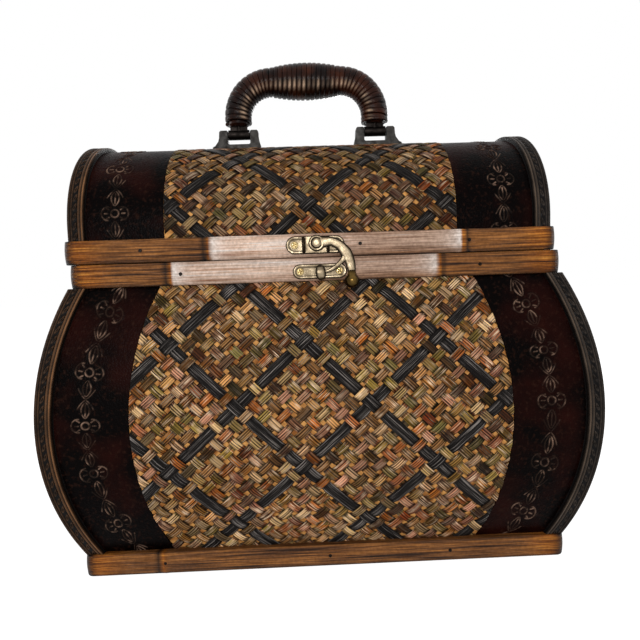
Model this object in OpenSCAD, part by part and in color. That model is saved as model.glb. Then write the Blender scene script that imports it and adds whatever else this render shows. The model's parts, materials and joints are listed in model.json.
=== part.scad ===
// Domed trunk of bamboo boards, covered with woven mats and embossed leather, with bent bamboo bands,
// a bound carrying handle and a swing-hook latch.
// Front is -Y, +X is to the right of a person facing the front, and the foot stands on Z = 0.

/* [Case] */
// Width over the rim bands
rim_w = 320; // [290:1:350]
// Depth over the rim bands
rim_d = 140; // [128:1:156]
// Height of the case to the top of its rim band
case_h = 206; // [190:1:225]
// How much wider and deeper the base band is than the rim bands
base_extra = 4; // [2:0.5:6]
// How far the corner edges bow out beyond the rim bands
bulge = 18.7; // [15:0.1:22]
// How far the corner strips stand past the rim band where they meet it
edge_out = 0.5; // [0:0.1:1]
// Height of each bamboo band
band_h = 14.5; // [13.5:0.5:16]
// Thickness of each bamboo band
band_t = 7.4; // [7:0.1:8]
// Thickness of the bowed case boards
board_t = 4; // [3:0.25:5]
// Thickness of the base board
floor_t = 5; // [4:0.5:8]

/* [Skins] */
// Thickness of the leather
leather_t = 1.2; // [0.8:0.1:1.5]
// Height of the tooled corner strips above the leather
trim_t = 3.2; // [2:0.1:3.8]
// Width of the tooled strips on each face
trim_w = 11; // [8:0.5:13]
// Thickness of the woven mats
weave_t = 2; // [1.6:0.1:2.4]
// Width of the raised strips of the mats
strip_w = 6; // [5:0.1:7]
// How far the raised strips stand above the sheet between them
strip_h = 0.9; // [0.5:0.1:1.2]
// Width of the case mats at their widest
weave_w = 243; // [210:1:252]
// Radius of the curved side edges of the case mats
weave_edge_r = 215; // [190:5:300]
// Width of the lid mat
lid_weave_w = 192; // [160:1:210]

/* [Lid] */
// Gap between the lid band and the case rim band when shut
lid_gap = 1.3; // [0.8:0.1:1.6]
// Straight height of the lid wall above its band
lid_straight = 7; // [4:0.5:12]
// Sideways offset of the lid on its hinges
lid_shift = -2.8; // [-4:0.1:0]
// Thickness of the vault board and of the lid end boards
lid_board_t = 4; // [3:0.25:5]

/* [Latch] */
// Length of the latch plate on the lid
latch_l = 38; // [34:0.5:42]
// Height of the latch plate
latch_h = 11.4; // [10.5:0.1:12.5]
// Length of the catch plate on the case
catch_l = 35; // [32:0.5:40]
// Height of the catch plate
catch_h = 9.6; // [9.2:0.1:11]
// Thickness of both plates
plate_t = 1; // [0.8:0.1:1.2]
// Extra thickness of the pad under the hook
pad_t = 0.8; // [0.6:0.1:1]
// Thickness of the swing hook
hook_t = 2; // [1.6:0.1:2.2]
// Diameter of the hook's knob
knob_d = 8; // [6:0.5:9]
// Radius of the latch rivet
rivet_r = 1.6; // [1.2:0.1:2]

/* [Hinges] */
// Distance of each hinge from the middle
hinge_x = 90; // [60:1:105]
// Length of each hinge
hinge_l = 28; // [22:1:34]
// Thickness of a hinge leaf
leaf_t = 1; // [0.8:0.1:1.2]
// Radius of the hinge knuckles
knuckle_r = 2.1; // [1.9:0.05:2.3]
// Radius of the hinge pins
hinge_pin_r = 1; // [0.8:0.05:1.1]

/* [Handle] */
// Distance between the middles of the two legs
handle_span = 104; // [96:1:116]
// Height of the middle of the grip above the pivot
handle_rise = 38.3; // [36:0.1:44]
// Thickness of the bound grip at its middle
grip_d = 26.4; // [24:0.2:28]
// Thickness of the bound legs
leg_d = 20.6; // [19:0.2:21]
// Radius of the two bends
bend_r = 26; // [23:0.5:28]
// How far each bracket's foot runs outwards past its ear
foot_out = 5.6; // [4:0.1:9]
// How far each bracket's foot runs inwards past its ear
foot_in = 1.8; // [1:0.1:3]
// Depth of the brackets
bracket_d = 8.8; // [7.6:0.1:9]
// Thickness of the bracket ears
ear_t = 6.2; // [5:0.1:7]
// Gap between the two ears
ear_gap = 16.8; // [15:0.1:18]
// Height of the pivot above the lid mat
pivot_h = 11.6; // [11.4:0.1:13]
// Radius of the pivot pins
pin_r = 1.5; // [1.2:0.1:1.8]
// Radius of the handle eyes
eye_r = 3.7; // [3.2:0.1:4]
// Number of turns of the binding
wrap_n = 24; // [16:1:24]
// Thickness of the binding
wrap_t = 2.2; // [1.6:0.1:2.4]

/* [Clearances] */
// Radial clearance of each pin in the piece that turns on it
running = 0.06; // [0.03:0.01:0.09]
// Gap between faces that pass each other
side_gap = 0.35; // [0.3:0.05:0.5]

/* [Hidden] */
$fn = 64;
fine = 240;
big = 600;
// Case heights: top of the base band and underside of the rim band.
case_lo = band_h;
case_hi = case_h - band_h;
// Straight height of the boards' inside above the base band and below the rim band.
shoulder = 6;
band_corner = 6;
// The bow is an arc through the two bands that stands out by bulge half way up.
sag = bulge - edge_out;
belly_z = (case_lo + case_hi) / 2;
belly_r = (pow((case_hi - case_lo) / 2, 2) + sag * sag) / (2 * sag);
// Offsets of the skins, counted inwards from the surface of the corner strips.
o_leather = -trim_t;
o_board = -trim_t - leather_t;
o_weave = o_board + weave_t;
// The mitres of the four boards run at 45 degrees from this half length.
mitre_x = (rim_w - rim_d) / 2;
half_w = rim_w / 2;
half_d = rim_d / 2;
base_w = half_w + base_extra / 2;
base_d = half_d + base_extra / 2;
// Strips of a mat run along two steps, each of which takes in seven strips side by side. The solids have
// the strips at these places of each seven, the rising ones lapped over the falling ones.
mat_rise = [44.3, 40.4];
mat_fall = [-41.2, 40.6];
mat_from = [-10.2, belly_z + 50.6];
strip_run = 7;
strip_shown = [0, 2, 5];
strip_reach = 3;
strip_lap = 0.45;
// Lid heights and radii.
lid_lo = case_h + lid_gap;
lid_top = lid_lo + band_h;
vault_z = lid_top + lid_straight;
vault_r = half_d - band_t;
vault_leather_r = vault_r + leather_t;
vault_trim_r = vault_leather_r + trim_t;
vault_weave_r = vault_r + weave_t;
lid_end = half_w - band_t;
lid_end_leather = lid_end + leather_t;
lid_end_trim = lid_end_leather + trim_t;
// The lid's mat, along X and up over the vault from the front spring line, is cut in zones of this angle,
// which lap over each other and run on to the foot of the vault by these angles.
lid_rise = [45.2, 39.9];
lid_fall = [-45.1, 41.1];
lid_from = [-4.5, 13.5];
zone_a = 60;
zone_lap = 0.5;
zone_run = 20;
zone_k = zone_a * PI / 360 / sin(zone_a / 2);
// Hinge axis, behind the rear faces of the bands.
hinge_y = half_d + knuckle_r + side_gap;
hinge_z = case_h + lid_gap / 2;
leaf_h = band_h - 2;
leaf_screw_x = 0.3 * hinge_l;
leaf_screw_z = 0.6 * band_h;
screw_r = 1.1;
screw_l = 6;
screw_head_r = 2.2;
screw_head_h = 0.8;
// Radial clearance of shanks in their holes, and of the pins where they are held fast.
shank_gap = 0.02;
pin_hold = 0.005;
// Latch.
latch_x = -0.8;
latch_z = lid_lo + band_h / 2;
hook_z = latch_z + 0.9;
hook_eye_r = 4.8;
pad_l = 16;
rivet_deep = 4;
rivet_head_r = rivet_r + 1.3;
rivet_head_h = 1.2;
catch_x = 1.6;
catch_z = case_h - band_h / 2 - 1.2;
staple_x = 2;
staple_z = catch_z - 0.9;
hook_r = sqrt(pow(staple_x, 2) + pow(hook_z - staple_z, 2));
// The hook's outline is drawn for a tip that swings at 19 and is scaled to fit.
hook_k = hook_r / 19;
hook_y = -half_d - plate_t - pad_t - side_gap;
tip_w = 2;
tip_gap = 0.5;
staple_slot = tip_w / 2 + tip_gap;
staple_deep = pad_t + side_gap + hook_t + tip_gap;
staple_r = sqrt(pow(staple_slot, 2) + pow(staple_deep, 2)) + 0.9;
staple_half = 2.9;
// Handle.
pivot_z = vault_z + vault_weave_r + pivot_h;
leg_gap = 5.6;
wrap_lift = 0.3;
// The core is a shade thinner in its bends, which run on by a small angle into its legs and its grip.
leg_core_r = leg_d / 2 - wrap_t - wrap_lift;
core_step = 0.1;
bend_core_r = leg_core_r - core_step;
bend_lap = 2;
// Bevel at the foot of each leg of the core, which clears the bracket when the handle lies down.
leg_toe = 1.5;
grip_core_r = grip_d / 2 - wrap_t - wrap_lift;
grip_half = handle_span / 2 - bend_r;
grip_sag = grip_core_r - leg_core_r;
grip_arc_r = (grip_half * grip_half + grip_sag * grip_sag) / (2 * grip_sag);
leg_len = handle_rise - bend_r - leg_gap;
bend_len = PI / 2 * bend_r;
path_len = 2 * leg_len + 2 * bend_len + 2 * grip_half;
wrap_pitch = path_len / (wrap_n + 1);
wrap_rings = 24;
wrap_sides = 6;
wrap_split = 0.75;
neck_l = 13;
neck_d = 5;
tang_r = 3;
tang_l = 9;
// Brackets: top of the ears, where the outer ear starts to flare below the pivot, and the feet.
ear_top = 2.7;
ear_out = ear_gap / 2 + ear_t;
ear_flare = 0.6;
ear_low = -3;
foot_t = 3.9;
foot_edge = 2;
// Bracket rivets: length above and below the mat's surface, and head.
foot_rivet_up = 2;
foot_rivet_head_r = 3;
foot_rivet_head_h = 1.6;
foot_rivet_down = vault_weave_r - sqrt(pow(vault_r - lid_board_t, 2) - pow(foot_rivet_head_r, 2));
// Places of the brads along the front, along the rear and on the ends of the bands.
lid_brads = [-110, 31, 102];
rim_brads = [-88, 106];
base_brads = [-108, 2, 83];
rear_brads = [-130, 0, 130];
brad_r = 0.6;
brad_l = 5;
brad_head_h = 0.5;
// Colours.
bamboo = [0.56, 0.37, 0.19];
board = [0.62, 0.47, 0.28];
mat = [0.50, 0.36, 0.18];
hide = [0.08, 0.05, 0.045];
strip = [0.24, 0.16, 0.11];
brass = [0.74, 0.62, 0.40];
iron = [0.33, 0.33, 0.33];
binding = [0.12, 0.07, 0.05];

// Outlines drawn in the X-Z plane or in the Y-Z plane, extruded right through.
module xz(l = big) rotate([90, 0, 0]) linear_extrude(l, center = true) children();
module yz(l = big) rotate([90, 0, 90]) linear_extrude(l, center = true) children();

// Bowed outline of the case between its bands, o outside the corner strips' surface.
module bow(half, o) {
    c = half + bulge - belly_r;
    intersection() {
        translate([c, belly_z]) circle(belly_r + o, $fn = fine);
        translate([-c, belly_z]) circle(belly_r + o, $fn = fine);
        translate([-2 * half, case_lo]) square([4 * half, case_hi - case_lo]);
    }
}

module belly(o) intersection() {
    xz() bow(half_w, o);
    yz() bow(half_d, o);
}

module upright(half, z0, z1) translate([-half, z0]) square([2 * half, z1 - z0]);

// Outside of the boards: the bow, with straight necks behind the rim band and the base band.
module boards_outside(half) {
    bow(half, o_board);
    upright(half - band_t, case_hi, case_h);
    upright(half + base_extra / 2 - band_t, floor_t, case_lo);
}

module boards_inside(half) {
    intersection() {
        bow(half, o_board - board_t);
        upright(2 * half, case_lo + shoulder, case_hi - shoulder);
    }
    upright(half - band_t - board_t, case_hi - shoulder, case_h + 1);
    upright(half + base_extra / 2 - band_t - board_t, floor_t - 1, case_lo + shoulder);
}

module case_shell() difference() {
    intersection() {
        xz() boards_outside(half_w);
        yz() boards_outside(half_d);
    }
    intersection() {
        xz() boards_inside(half_w);
        yz() boards_inside(half_d);
    }
}

module front_sector() linear_extrude(big)
    polygon([[-mitre_x - big, -big], [mitre_x + big, -big], [mitre_x, 0], [-mitre_x, 0]]);

module right_sector() linear_extrude(big)
    polygon([[mitre_x, 0], [mitre_x + big, -big], [mitre_x + big, big]]);

// Outline of a case mat: an upright panel with bowed side edges.
module mat_panel() xz() {
    c = weave_w / 2 - weave_edge_r;
    intersection() {
        translate([c, belly_z]) circle(weave_edge_r, $fn = fine);
        translate([-c, belly_z]) circle(weave_edge_r, $fn = fine);
    }
}

// Bent bamboo band with rounded outer corners and a square inside.
module band(w, d, z, r = band_corner) translate([0, 0, z]) linear_extrude(band_h) difference() {
    union() {
        square([2 * w, 2 * d - 2 * r], center = true);
        square([2 * w - 2 * r, 2 * d], center = true);
        for (x = [-1, 1], y = [-1, 1]) translate([x * (w - r), y * (d - r)]) circle(r);
    }
    square([2 * w - 2 * band_t, 2 * d - 2 * band_t], center = true);
}

// Children stand on a band's face, their +Z pointing out of it.
module on_front(x, z, d = half_d) translate([x, -d, z]) rotate([90, 0, 0]) children();
module on_rear(x, z, d = half_d) translate([x, d, z]) rotate([-90, 0, 0]) children();

module at_brads(xs, w, d, z) {
    for (x = xs) on_front(x, z, d) children();
    for (x = rear_brads) on_rear(x, z, d) children();
    for (s = [-1, 1]) translate([s * w, 0, z]) rotate([0, s * 90, 0]) children();
}

module brad() {
    cylinder(brad_head_h, 2 * brad_r, 1.5 * brad_r);
    translate([0, 0, -brad_l]) cylinder(brad_l, brad_r, brad_r);
}

module brad_hole() translate([0, 0, -brad_l]) cylinder(brad_l + 1, brad_r + shank_gap, brad_r + shank_gap);

module screw(t) {
    translate([0, 0, t]) cylinder(screw_head_h, screw_head_r, 0.7 * screw_head_r);
    translate([0, 0, t - screw_l]) cylinder(screw_l, screw_r, screw_r);
}

module screw_hole(t) translate([0, 0, t - screw_l])
    cylinder(screw_l + 1, screw_r + shank_gap, screw_r + shank_gap);

module stadium(l, h) {
    square([l - h, h], center = true);
    for (s = [-1, 1]) translate([s * (l - h) / 2, 0]) circle(h / 2);
}

// Screws sit in the middle of the plates' rounded ends and near the ends of the hinge leaves.
module at_catch_screws() for (s = [-1, 1])
    on_front(catch_x + s * (catch_l - catch_h) / 2, catch_z) children();
module at_latch_screw() on_front(latch_x - (latch_l - latch_h) / 2, latch_z) children();
module at_leaf_screws(z) for (s = [-1, 1]) on_rear(s * leaf_screw_x, z) children();
module at_hinges() for (s = [-1, 1]) translate([s * hinge_x, 0, 0]) children();
module at_case_hinge_screws() at_hinges() at_leaf_screws(case_h - leaf_screw_z) children();
module at_lid_hinge_screws() at_hinges() at_leaf_screws(lid_lo + leaf_screw_z) children();

// Case

module base_board() color(board) translate([-base_w + band_t, -base_d + band_t, 0])
    cube([2 * (base_w - band_t), 2 * (base_d - band_t), floor_t]);

module base_band() color(bamboo) difference() {
    band(base_w, base_d, 0);
    at_brads(base_brads, base_w, base_d, band_h / 2) brad_hole();
}

module base_band_brads() color(iron) at_brads(base_brads, base_w, base_d, band_h / 2) brad();

module front_board() color(board) intersection() {
    case_shell();
    front_sector();
}

module rear_board() mirror([0, 1, 0]) front_board();

module right_board() color(board) intersection() {
    case_shell();
    right_sector();
}

module left_board() mirror([1, 0, 0]) right_board();

module rim_band() color(bamboo) difference() {
    band(half_w, half_d, case_hi);
    at_brads(rim_brads, half_w, half_d, case_hi + band_h / 2) brad_hole();
    at_catch_screws() screw_hole(plate_t);
    at_case_hinge_screws() screw_hole(leaf_t);
}

module rim_band_brads() color(iron) at_brads(rim_brads, half_w, half_d, case_hi + band_h / 2) brad();

// Strips that run along one step of a mat and lie side by side along the other.
module strips(along, beside) for (n = [-strip_reach : strip_reach], k = strip_shown)
    translate((n + k / strip_run) * beside) rotate(atan2(along[1], along[0]))
        square([big, strip_w], center = true);

// What is cut away beside the children, from straight outside the front down to a depth in the mat.
module mat_cut(depth) difference() {
    rotate([90, 0, 0]) linear_extrude(big) difference() {
        translate([-weave_w / 2, case_lo - 1]) square([weave_w, case_hi - case_lo + 2]);
        translate(mat_from) children();
    }
    belly(o_weave - depth);
}

module front_weave() color(mat) difference() {
    intersection() {
        difference() {
            belly(o_weave);
            belly(o_board);
        }
        front_sector();
        mat_panel();
    }
    mat_cut(strip_lap) strips(mat_rise, mat_fall);
    mat_cut(strip_h) {
        strips(mat_rise, mat_fall);
        strips(mat_fall, mat_rise);
    }
}

module rear_weave() rotate([0, 0, 180]) front_weave();

module front_right_leather() color(hide) intersection() {
    difference() {
        belly(o_leather);
        belly(o_board);
        mat_panel();
    }
    front_sector();
    translate([0, -big / 2, 0]) cube([big, big, big]);
}

module front_left_leather() mirror([1, 0, 0]) front_right_leather();
module rear_right_leather() mirror([0, 1, 0]) front_right_leather();
module rear_left_leather() mirror([0, 1, 0]) front_left_leather();

module right_end_leather() color(hide) intersection() {
    difference() {
        belly(o_leather);
        belly(o_board);
    }
    right_sector();
}

module left_end_leather() mirror([1, 0, 0]) right_end_leather();

// A corner strip lies over the leather of both faces that meet at its edge.
module front_right_trim() color(strip) intersection() {
    difference() {
        belly(0);
        belly(o_leather);
        xz() bow(half_w, -trim_w);
        yz() bow(half_d, -trim_w);
    }
    translate([0, -big, 0]) cube([big, big, big]);
}

module front_left_trim() mirror([1, 0, 0]) front_right_trim();
module rear_right_trim() mirror([0, 1, 0]) front_right_trim();
module rear_left_trim() mirror([0, 1, 0]) front_left_trim();

module catch_plate() color(brass) difference() {
    on_front(catch_x, catch_z) linear_extrude(plate_t) stadium(catch_l, catch_h);
    at_catch_screws() screw_hole(plate_t);
}

// Arched staple that the hook's tip slides into from the right, set square to the tip's arc.
module catch_staple() color(brass) translate([staple_x, -half_d - plate_t, staple_z])
    rotate([0, -asin(staple_x / hook_r), 0]) difference() {
        intersection() {
            rotate([0, 90, 0]) cylinder(2 * staple_r, staple_r, staple_r, center = true);
            rotate([90, 0, 0]) linear_extrude(2 * staple_r) intersection() {
                translate([staple_r - staple_half, 0]) circle(staple_r + 0.2);
                translate([staple_half - staple_r, 0]) circle(staple_r + 0.2);
            }
        }
        translate([-staple_r, -staple_deep, -staple_slot])
            cube([2 * staple_r, staple_deep + 1, 2 * staple_slot]);
    }

module catch_screws() color(brass) at_catch_screws() screw(plate_t);

// Lid

module lid_band() color(bamboo) translate([lid_shift, 0, 0]) difference() {
    band(half_w, half_d, lid_lo);
    at_brads(lid_brads, half_w, half_d, latch_z) brad_hole();
    translate([-lid_shift, 0, 0]) {
        at_latch_screw() screw_hole(plate_t);
        at_lid_hinge_screws() screw_hole(leaf_t);
        on_front(0, hook_z) latch_rivet_hole();
    }
}

module lid_band_brads() color(iron) translate([lid_shift, 0, 0])
    at_brads(lid_brads, half_w, half_d, latch_z) brad();

// Arched outline in the Y-Z plane: upright sides under a half circle.
module arch(r, z0) {
    upright(r, z0, vault_z);
    intersection() {
        translate([0, vault_z]) circle(r);
        upright(2 * r, vault_z, vault_z + 2 * r);
    }
}

// Arched prism from x0 to x1 along the lid.
module vault(r, x0, x1, z0) translate([(x0 + x1) / 2 + lid_shift, 0, 0]) yz(x1 - x0) arch(r, z0);

module lid_vault_board() color(board) difference() {
    vault(vault_r, -lid_end + lid_board_t, lid_end - lid_board_t, lid_lo);
    vault(vault_r - lid_board_t, -lid_end, lid_end, lid_lo - 1);
    at_foot_rivets() foot_rivet_shank(rivet_r + shank_gap);
}

module lid_right_end_board() color(board) vault(vault_r, lid_end - lid_board_t, lid_end, lid_lo);
module lid_left_end_board() color(board) vault(vault_r, -lid_end, -lid_end + lid_board_t, lid_lo);

// A step of the lid's mat as it is seen from straight outside a zone.
function zoned(step) = [step[0], step[1] / zone_k];

// What is cut away beside the children in one zone of the vault, from straight outside it. The lattice is
// moved by whole steps so that it starts near the zone.
module zone_cut(zone) translate([0, 0, vault_z]) rotate([-zone * zone_a, 0, 0]) intersection() {
    linear_extrude(big) difference() {
        translate([lid_shift - lid_weave_w / 2 - 1, -big / 4]) square([lid_weave_w + 2, big / 2]);
        translate(zoned(lid_from - [0, vault_weave_r * (90 + zone * zone_a) * PI / 180]
            + (zone + 1) * (lid_rise + lid_fall))) children();
    }
    yz() polygon([[0, 0], [-big * tan(zone_a / 2 + (zone < 0 ? zone_run : zone_lap)), big],
        [big * tan(zone_a / 2 + (zone > 0 ? zone_run : zone_lap)), big]]);
}

module lid_cut(depth) difference() {
    for (zone = [-1 : 1]) zone_cut(zone) children();
    vault(vault_weave_r - depth, -lid_end, lid_end, lid_top - 1);
}

module lid_weave() color(mat) difference() {
    vault(vault_weave_r, -lid_weave_w / 2, lid_weave_w / 2, lid_top);
    vault(vault_r, -lid_end, lid_end, lid_top - 1);
    lid_cut(strip_lap) strips(zoned(lid_rise), zoned(lid_fall));
    lid_cut(strip_h) {
        strips(zoned(lid_rise), zoned(lid_fall));
        strips(zoned(lid_fall), zoned(lid_rise));
    }
    at_foot_rivets() foot_rivet_shank(rivet_r + shank_gap);
}

module lid_leather(x0, x1) color(hide) difference() {
    vault(vault_leather_r, x0, x1, lid_top);
    vault(vault_r, -big / 2, big / 2, lid_top - 1);
}

module lid_right_leather() lid_leather(lid_weave_w / 2, lid_end);
module lid_left_leather() lid_leather(-lid_end, -lid_weave_w / 2);
module lid_right_end_leather() color(hide) vault(vault_leather_r, lid_end, lid_end_leather, lid_top);
module lid_left_end_leather() color(hide) vault(vault_leather_r, -lid_end_leather, -lid_end, lid_top);

// An arch strip lies on the vault's leather and folds over the edge of the end leather.
module lid_trim(s) color(strip) difference() {
    vault(vault_trim_r, s > 0 ? lid_end_trim - trim_w : -lid_end_trim,
        s > 0 ? lid_end_trim : trim_w - lid_end_trim, lid_top);
    vault(vault_leather_r, -lid_end_leather, lid_end_leather, lid_top - 1);
    vault(vault_trim_r - trim_w, -big / 2, big / 2, lid_top - 1);
}

module lid_right_trim() lid_trim(1);
module lid_left_trim() lid_trim(-1);

module latch_plate() color(brass) difference() {
    union() {
        on_front(latch_x, latch_z) linear_extrude(plate_t) stadium(latch_l, latch_h);
        on_front(0, latch_z) linear_extrude(plate_t + pad_t) square([pad_l, latch_h], center = true);
    }
    at_latch_screw() screw_hole(plate_t);
    on_front(0, hook_z) latch_rivet_hole();
}

module latch_screw() color(brass) at_latch_screw() screw(plate_t);

module latch_rivet_hole() translate([0, 0, -rivet_deep])
    cylinder(rivet_deep + plate_t + pad_t + 1, rivet_r + shank_gap, rivet_r + shank_gap);

module latch_rivet() color(brass) on_front(0, hook_z) {
    reach = plate_t + pad_t + hook_t + 2 * side_gap;
    translate([0, 0, -rivet_deep]) cylinder(rivet_deep + reach, rivet_r, rivet_r);
    translate([0, 0, reach]) cylinder(rivet_head_h, rivet_head_r, 0.8 * rivet_head_r);
}

// Hinges

// One leaf with its knuckles on the rear faces; the middle knuckle belongs to the lid.
module hinge_leaf(lid) color(brass) difference() {
    union() {
        translate([-hinge_l / 2, half_d, lid ? hinge_z : hinge_z - lid_gap / 2 - leaf_h])
            cube([hinge_l, leaf_t, leaf_h + lid_gap / 2]);
        for (x = lid ? [0] : [-1, 1]) translate([x * hinge_l / 3, hinge_y, hinge_z])
            rotate([0, 90, 0]) cylinder(hinge_l / 3 - side_gap, knuckle_r, knuckle_r, center = true);
    }
    for (x = lid ? [-1, 1] : [0]) translate([x * hinge_l / 3, hinge_y, hinge_z]) rotate([0, 90, 0])
        cylinder(hinge_l / 3 + side_gap, knuckle_r + side_gap, knuckle_r + side_gap, center = true);
    translate([0, hinge_y, hinge_z]) rotate([0, 90, 0])
        cylinder(2 * hinge_l, hinge_bore(lid), hinge_bore(lid), center = true);
    at_leaf_screws(lid ? lid_lo + leaf_screw_z : case_h - leaf_screw_z) screw_hole(leaf_t);
}

function hinge_bore(lid) = hinge_pin_r + (lid ? running : pin_hold);

module hinge_pin() color(brass) translate([0, hinge_y, hinge_z]) rotate([0, 90, 0])
    cylinder(hinge_l, hinge_pin_r, hinge_pin_r, center = true);

module left_hinge_case_leaf() translate([-hinge_x, 0, 0]) hinge_leaf(false);
module right_hinge_case_leaf() translate([hinge_x, 0, 0]) hinge_leaf(false);
module left_hinge_lid_leaf() translate([-hinge_x, 0, 0]) hinge_leaf(true);
module right_hinge_lid_leaf() translate([hinge_x, 0, 0]) hinge_leaf(true);
module left_hinge_pin() translate([-hinge_x, 0, 0]) hinge_pin();
module right_hinge_pin() translate([hinge_x, 0, 0]) hinge_pin();
module hinge_case_screws() color(brass) at_case_hinge_screws() screw(leaf_t);
module hinge_lid_screws() color(brass) at_lid_hinge_screws() screw(leaf_t);

// Handle brackets

module at_bracket(s) translate([lid_shift + s * handle_span / 2, 0, pivot_z]) children();

module at_foot_rivets() for (s = [-1, 1], x = [-1, 1])
    at_bracket(s) translate([x * (ear_out - ear_t / 2), 0, -pivot_h]) children();

module foot_rivet_shank(r) translate([0, 0, -foot_rivet_down])
    cylinder(foot_rivet_down + foot_rivet_up, r, r);

module bracket(s) color(iron) difference() {
    at_bracket(s) mirror([s > 0 ? 0 : 1, 0, 0]) rotate([90, 0, 0])
        linear_extrude(bracket_d, center = true) difference() {
            polygon([[-ear_out - foot_in, -pivot_h - foot_edge], [ear_out + foot_out, -pivot_h - foot_edge],
                [ear_out + foot_out, foot_edge - pivot_h], [ear_out + ear_flare, ear_low], [ear_out, ear_top],
                [-ear_out, ear_top], [-ear_out - foot_in, foot_edge - pivot_h]]);
            translate([-ear_gap / 2, foot_t - pivot_h]) square([ear_gap, 2 * pivot_h]);
        }
    vault(vault_weave_r, -big / 2, big / 2, lid_top);
    at_bracket(s) rotate([0, 90, 0]) cylinder(4 * ear_out, pin_r + pin_hold, pin_r + pin_hold, center = true);
    at_foot_rivets() foot_rivet_shank(rivet_r + shank_gap);
}

module left_handle_bracket() bracket(-1);
module right_handle_bracket() bracket(1);

module handle_pin(s) color(iron) at_bracket(s) rotate([0, 90, 0])
    cylinder(2 * ear_out, pin_r, pin_r, center = true);

module left_handle_pin() handle_pin(-1);
module right_handle_pin() handle_pin(1);

// Rivets come up through the vault from inside and end in the bracket feet.
module bracket_rivets() color(iron) at_foot_rivets() {
    foot_rivet_shank(rivet_r);
    translate([0, 0, -foot_rivet_down - foot_rivet_head_h])
        cylinder(foot_rivet_head_h, foot_rivet_head_r, foot_rivet_head_r);
}

// Handle

module eye(s) color(iron) at_bracket(s) difference() {
    union() {
        rotate([0, 90, 0]) cylinder(ear_gap - 2 * side_gap, eye_r, eye_r, center = true);
        translate([-neck_l / 2, -neck_d / 2, 0]) cube([neck_l, neck_d, leg_gap]);
        cylinder(leg_gap + tang_l, tang_r, tang_r);
    }
    rotate([0, 90, 0]) cylinder(4 * ear_out, pin_r + running, pin_r + running, center = true);
}

module left_handle_eye() eye(-1);
module right_handle_eye() eye(1);

module handle_core() color(binding) translate([lid_shift, 0, pivot_z]) difference() {
    union() {
        for (s = [-1, 1]) mirror([s > 0 ? 0 : 1, 0, 0]) {
            translate([handle_span / 2, 0, leg_gap]) rotate_extrude() polygon([
                [0, 0], [leg_core_r - leg_toe, 0], [leg_core_r, leg_toe], [leg_core_r, leg_len], [0, leg_len]
            ]);
            translate([grip_half, 0, handle_rise - bend_r]) rotate([90, 0, 0]) rotate([0, 0, -bend_lap])
                rotate_extrude(angle = 90 + 2 * bend_lap) translate([bend_r, 0]) circle(bend_core_r);
        }
        translate([0, 0, handle_rise]) rotate([0, 90, 0]) rotate_extrude() intersection() {
            translate([grip_core_r - grip_arc_r, 0]) circle(grip_arc_r, $fn = 3 * fine);
            translate([0, -grip_half]) square([2 * grip_core_r, 2 * grip_half]);
        }
    }
    for (s = [-1, 1]) translate([s * handle_span / 2, 0, leg_gap - 1])
        cylinder(tang_l + 1, tang_r + shank_gap, tang_r + shank_gap);
}

// Centre line of the handle from the foot of the left leg to the foot of the right leg:
// [x, z, angle of the outward normal from +X].
function path(s) =
    s < leg_len ? [-handle_span / 2, leg_gap + s, 180] :
    s < leg_len + bend_len ? let (a = 180 - (s - leg_len) / bend_len * 90)
        [-grip_half + bend_r * cos(a), handle_rise - bend_r + bend_r * sin(a), a] :
    s < path_len - leg_len - bend_len ? [s - path_len / 2, handle_rise, 90] :
    s < path_len - leg_len ? let (a = (path_len - leg_len - s) / bend_len * 90)
        [grip_half + bend_r * cos(a), handle_rise - bend_r + bend_r * sin(a), a] :
    [handle_span / 2, leg_gap + path_len - s, 0];

// Radius of the core at a place along the handle.
function core_r(s) = let (x = s - path_len / 2) abs(x) > grip_half ? leg_core_r :
    grip_core_r - grip_arc_r + sqrt(grip_arc_r * grip_arc_r - x * x);

// Middle of the binding after i steps of a turn, w out from the core and u along the handle.
function wrap_at(i, u, w) = let (s = wrap_pitch / 2 + i / wrap_rings * wrap_pitch, p = path(s + u),
        r = core_r(s) + wrap_lift + wrap_t / 2 + w, a = i * 360 / wrap_rings)
    [p[0] + r * cos(a) * cos(p[2]), r * sin(a), p[1] + r * cos(a) * sin(p[2])];

// Half width of the binding, from the distance to the turns before and after it.
function wrap_half(i) = let (c = wrap_at(i, 0, 0))
    (min(norm(wrap_at(i + wrap_rings, 0, 0) - c), norm(wrap_at(i - wrap_rings, 0, 0) - c)) - wrap_split) / 2;

// One ring of the binding: six points round its flat section, which lies square to the core.
function wrap_ring(i) = let (h = wrap_half(i), c = wrap_at(i, 0, 0), o = wrap_at(i, 0, 1) - c,
        t = wrap_at(i, 0.01, 0) - wrap_at(i, -0.01, 0), d = t / norm(t))
    [for (k = [0 : wrap_sides - 1]) let (a = k * 360 / wrap_sides)
        c + d * h * cos(a) + o * wrap_t / 2 * sin(a) / sin(60)];

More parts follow.
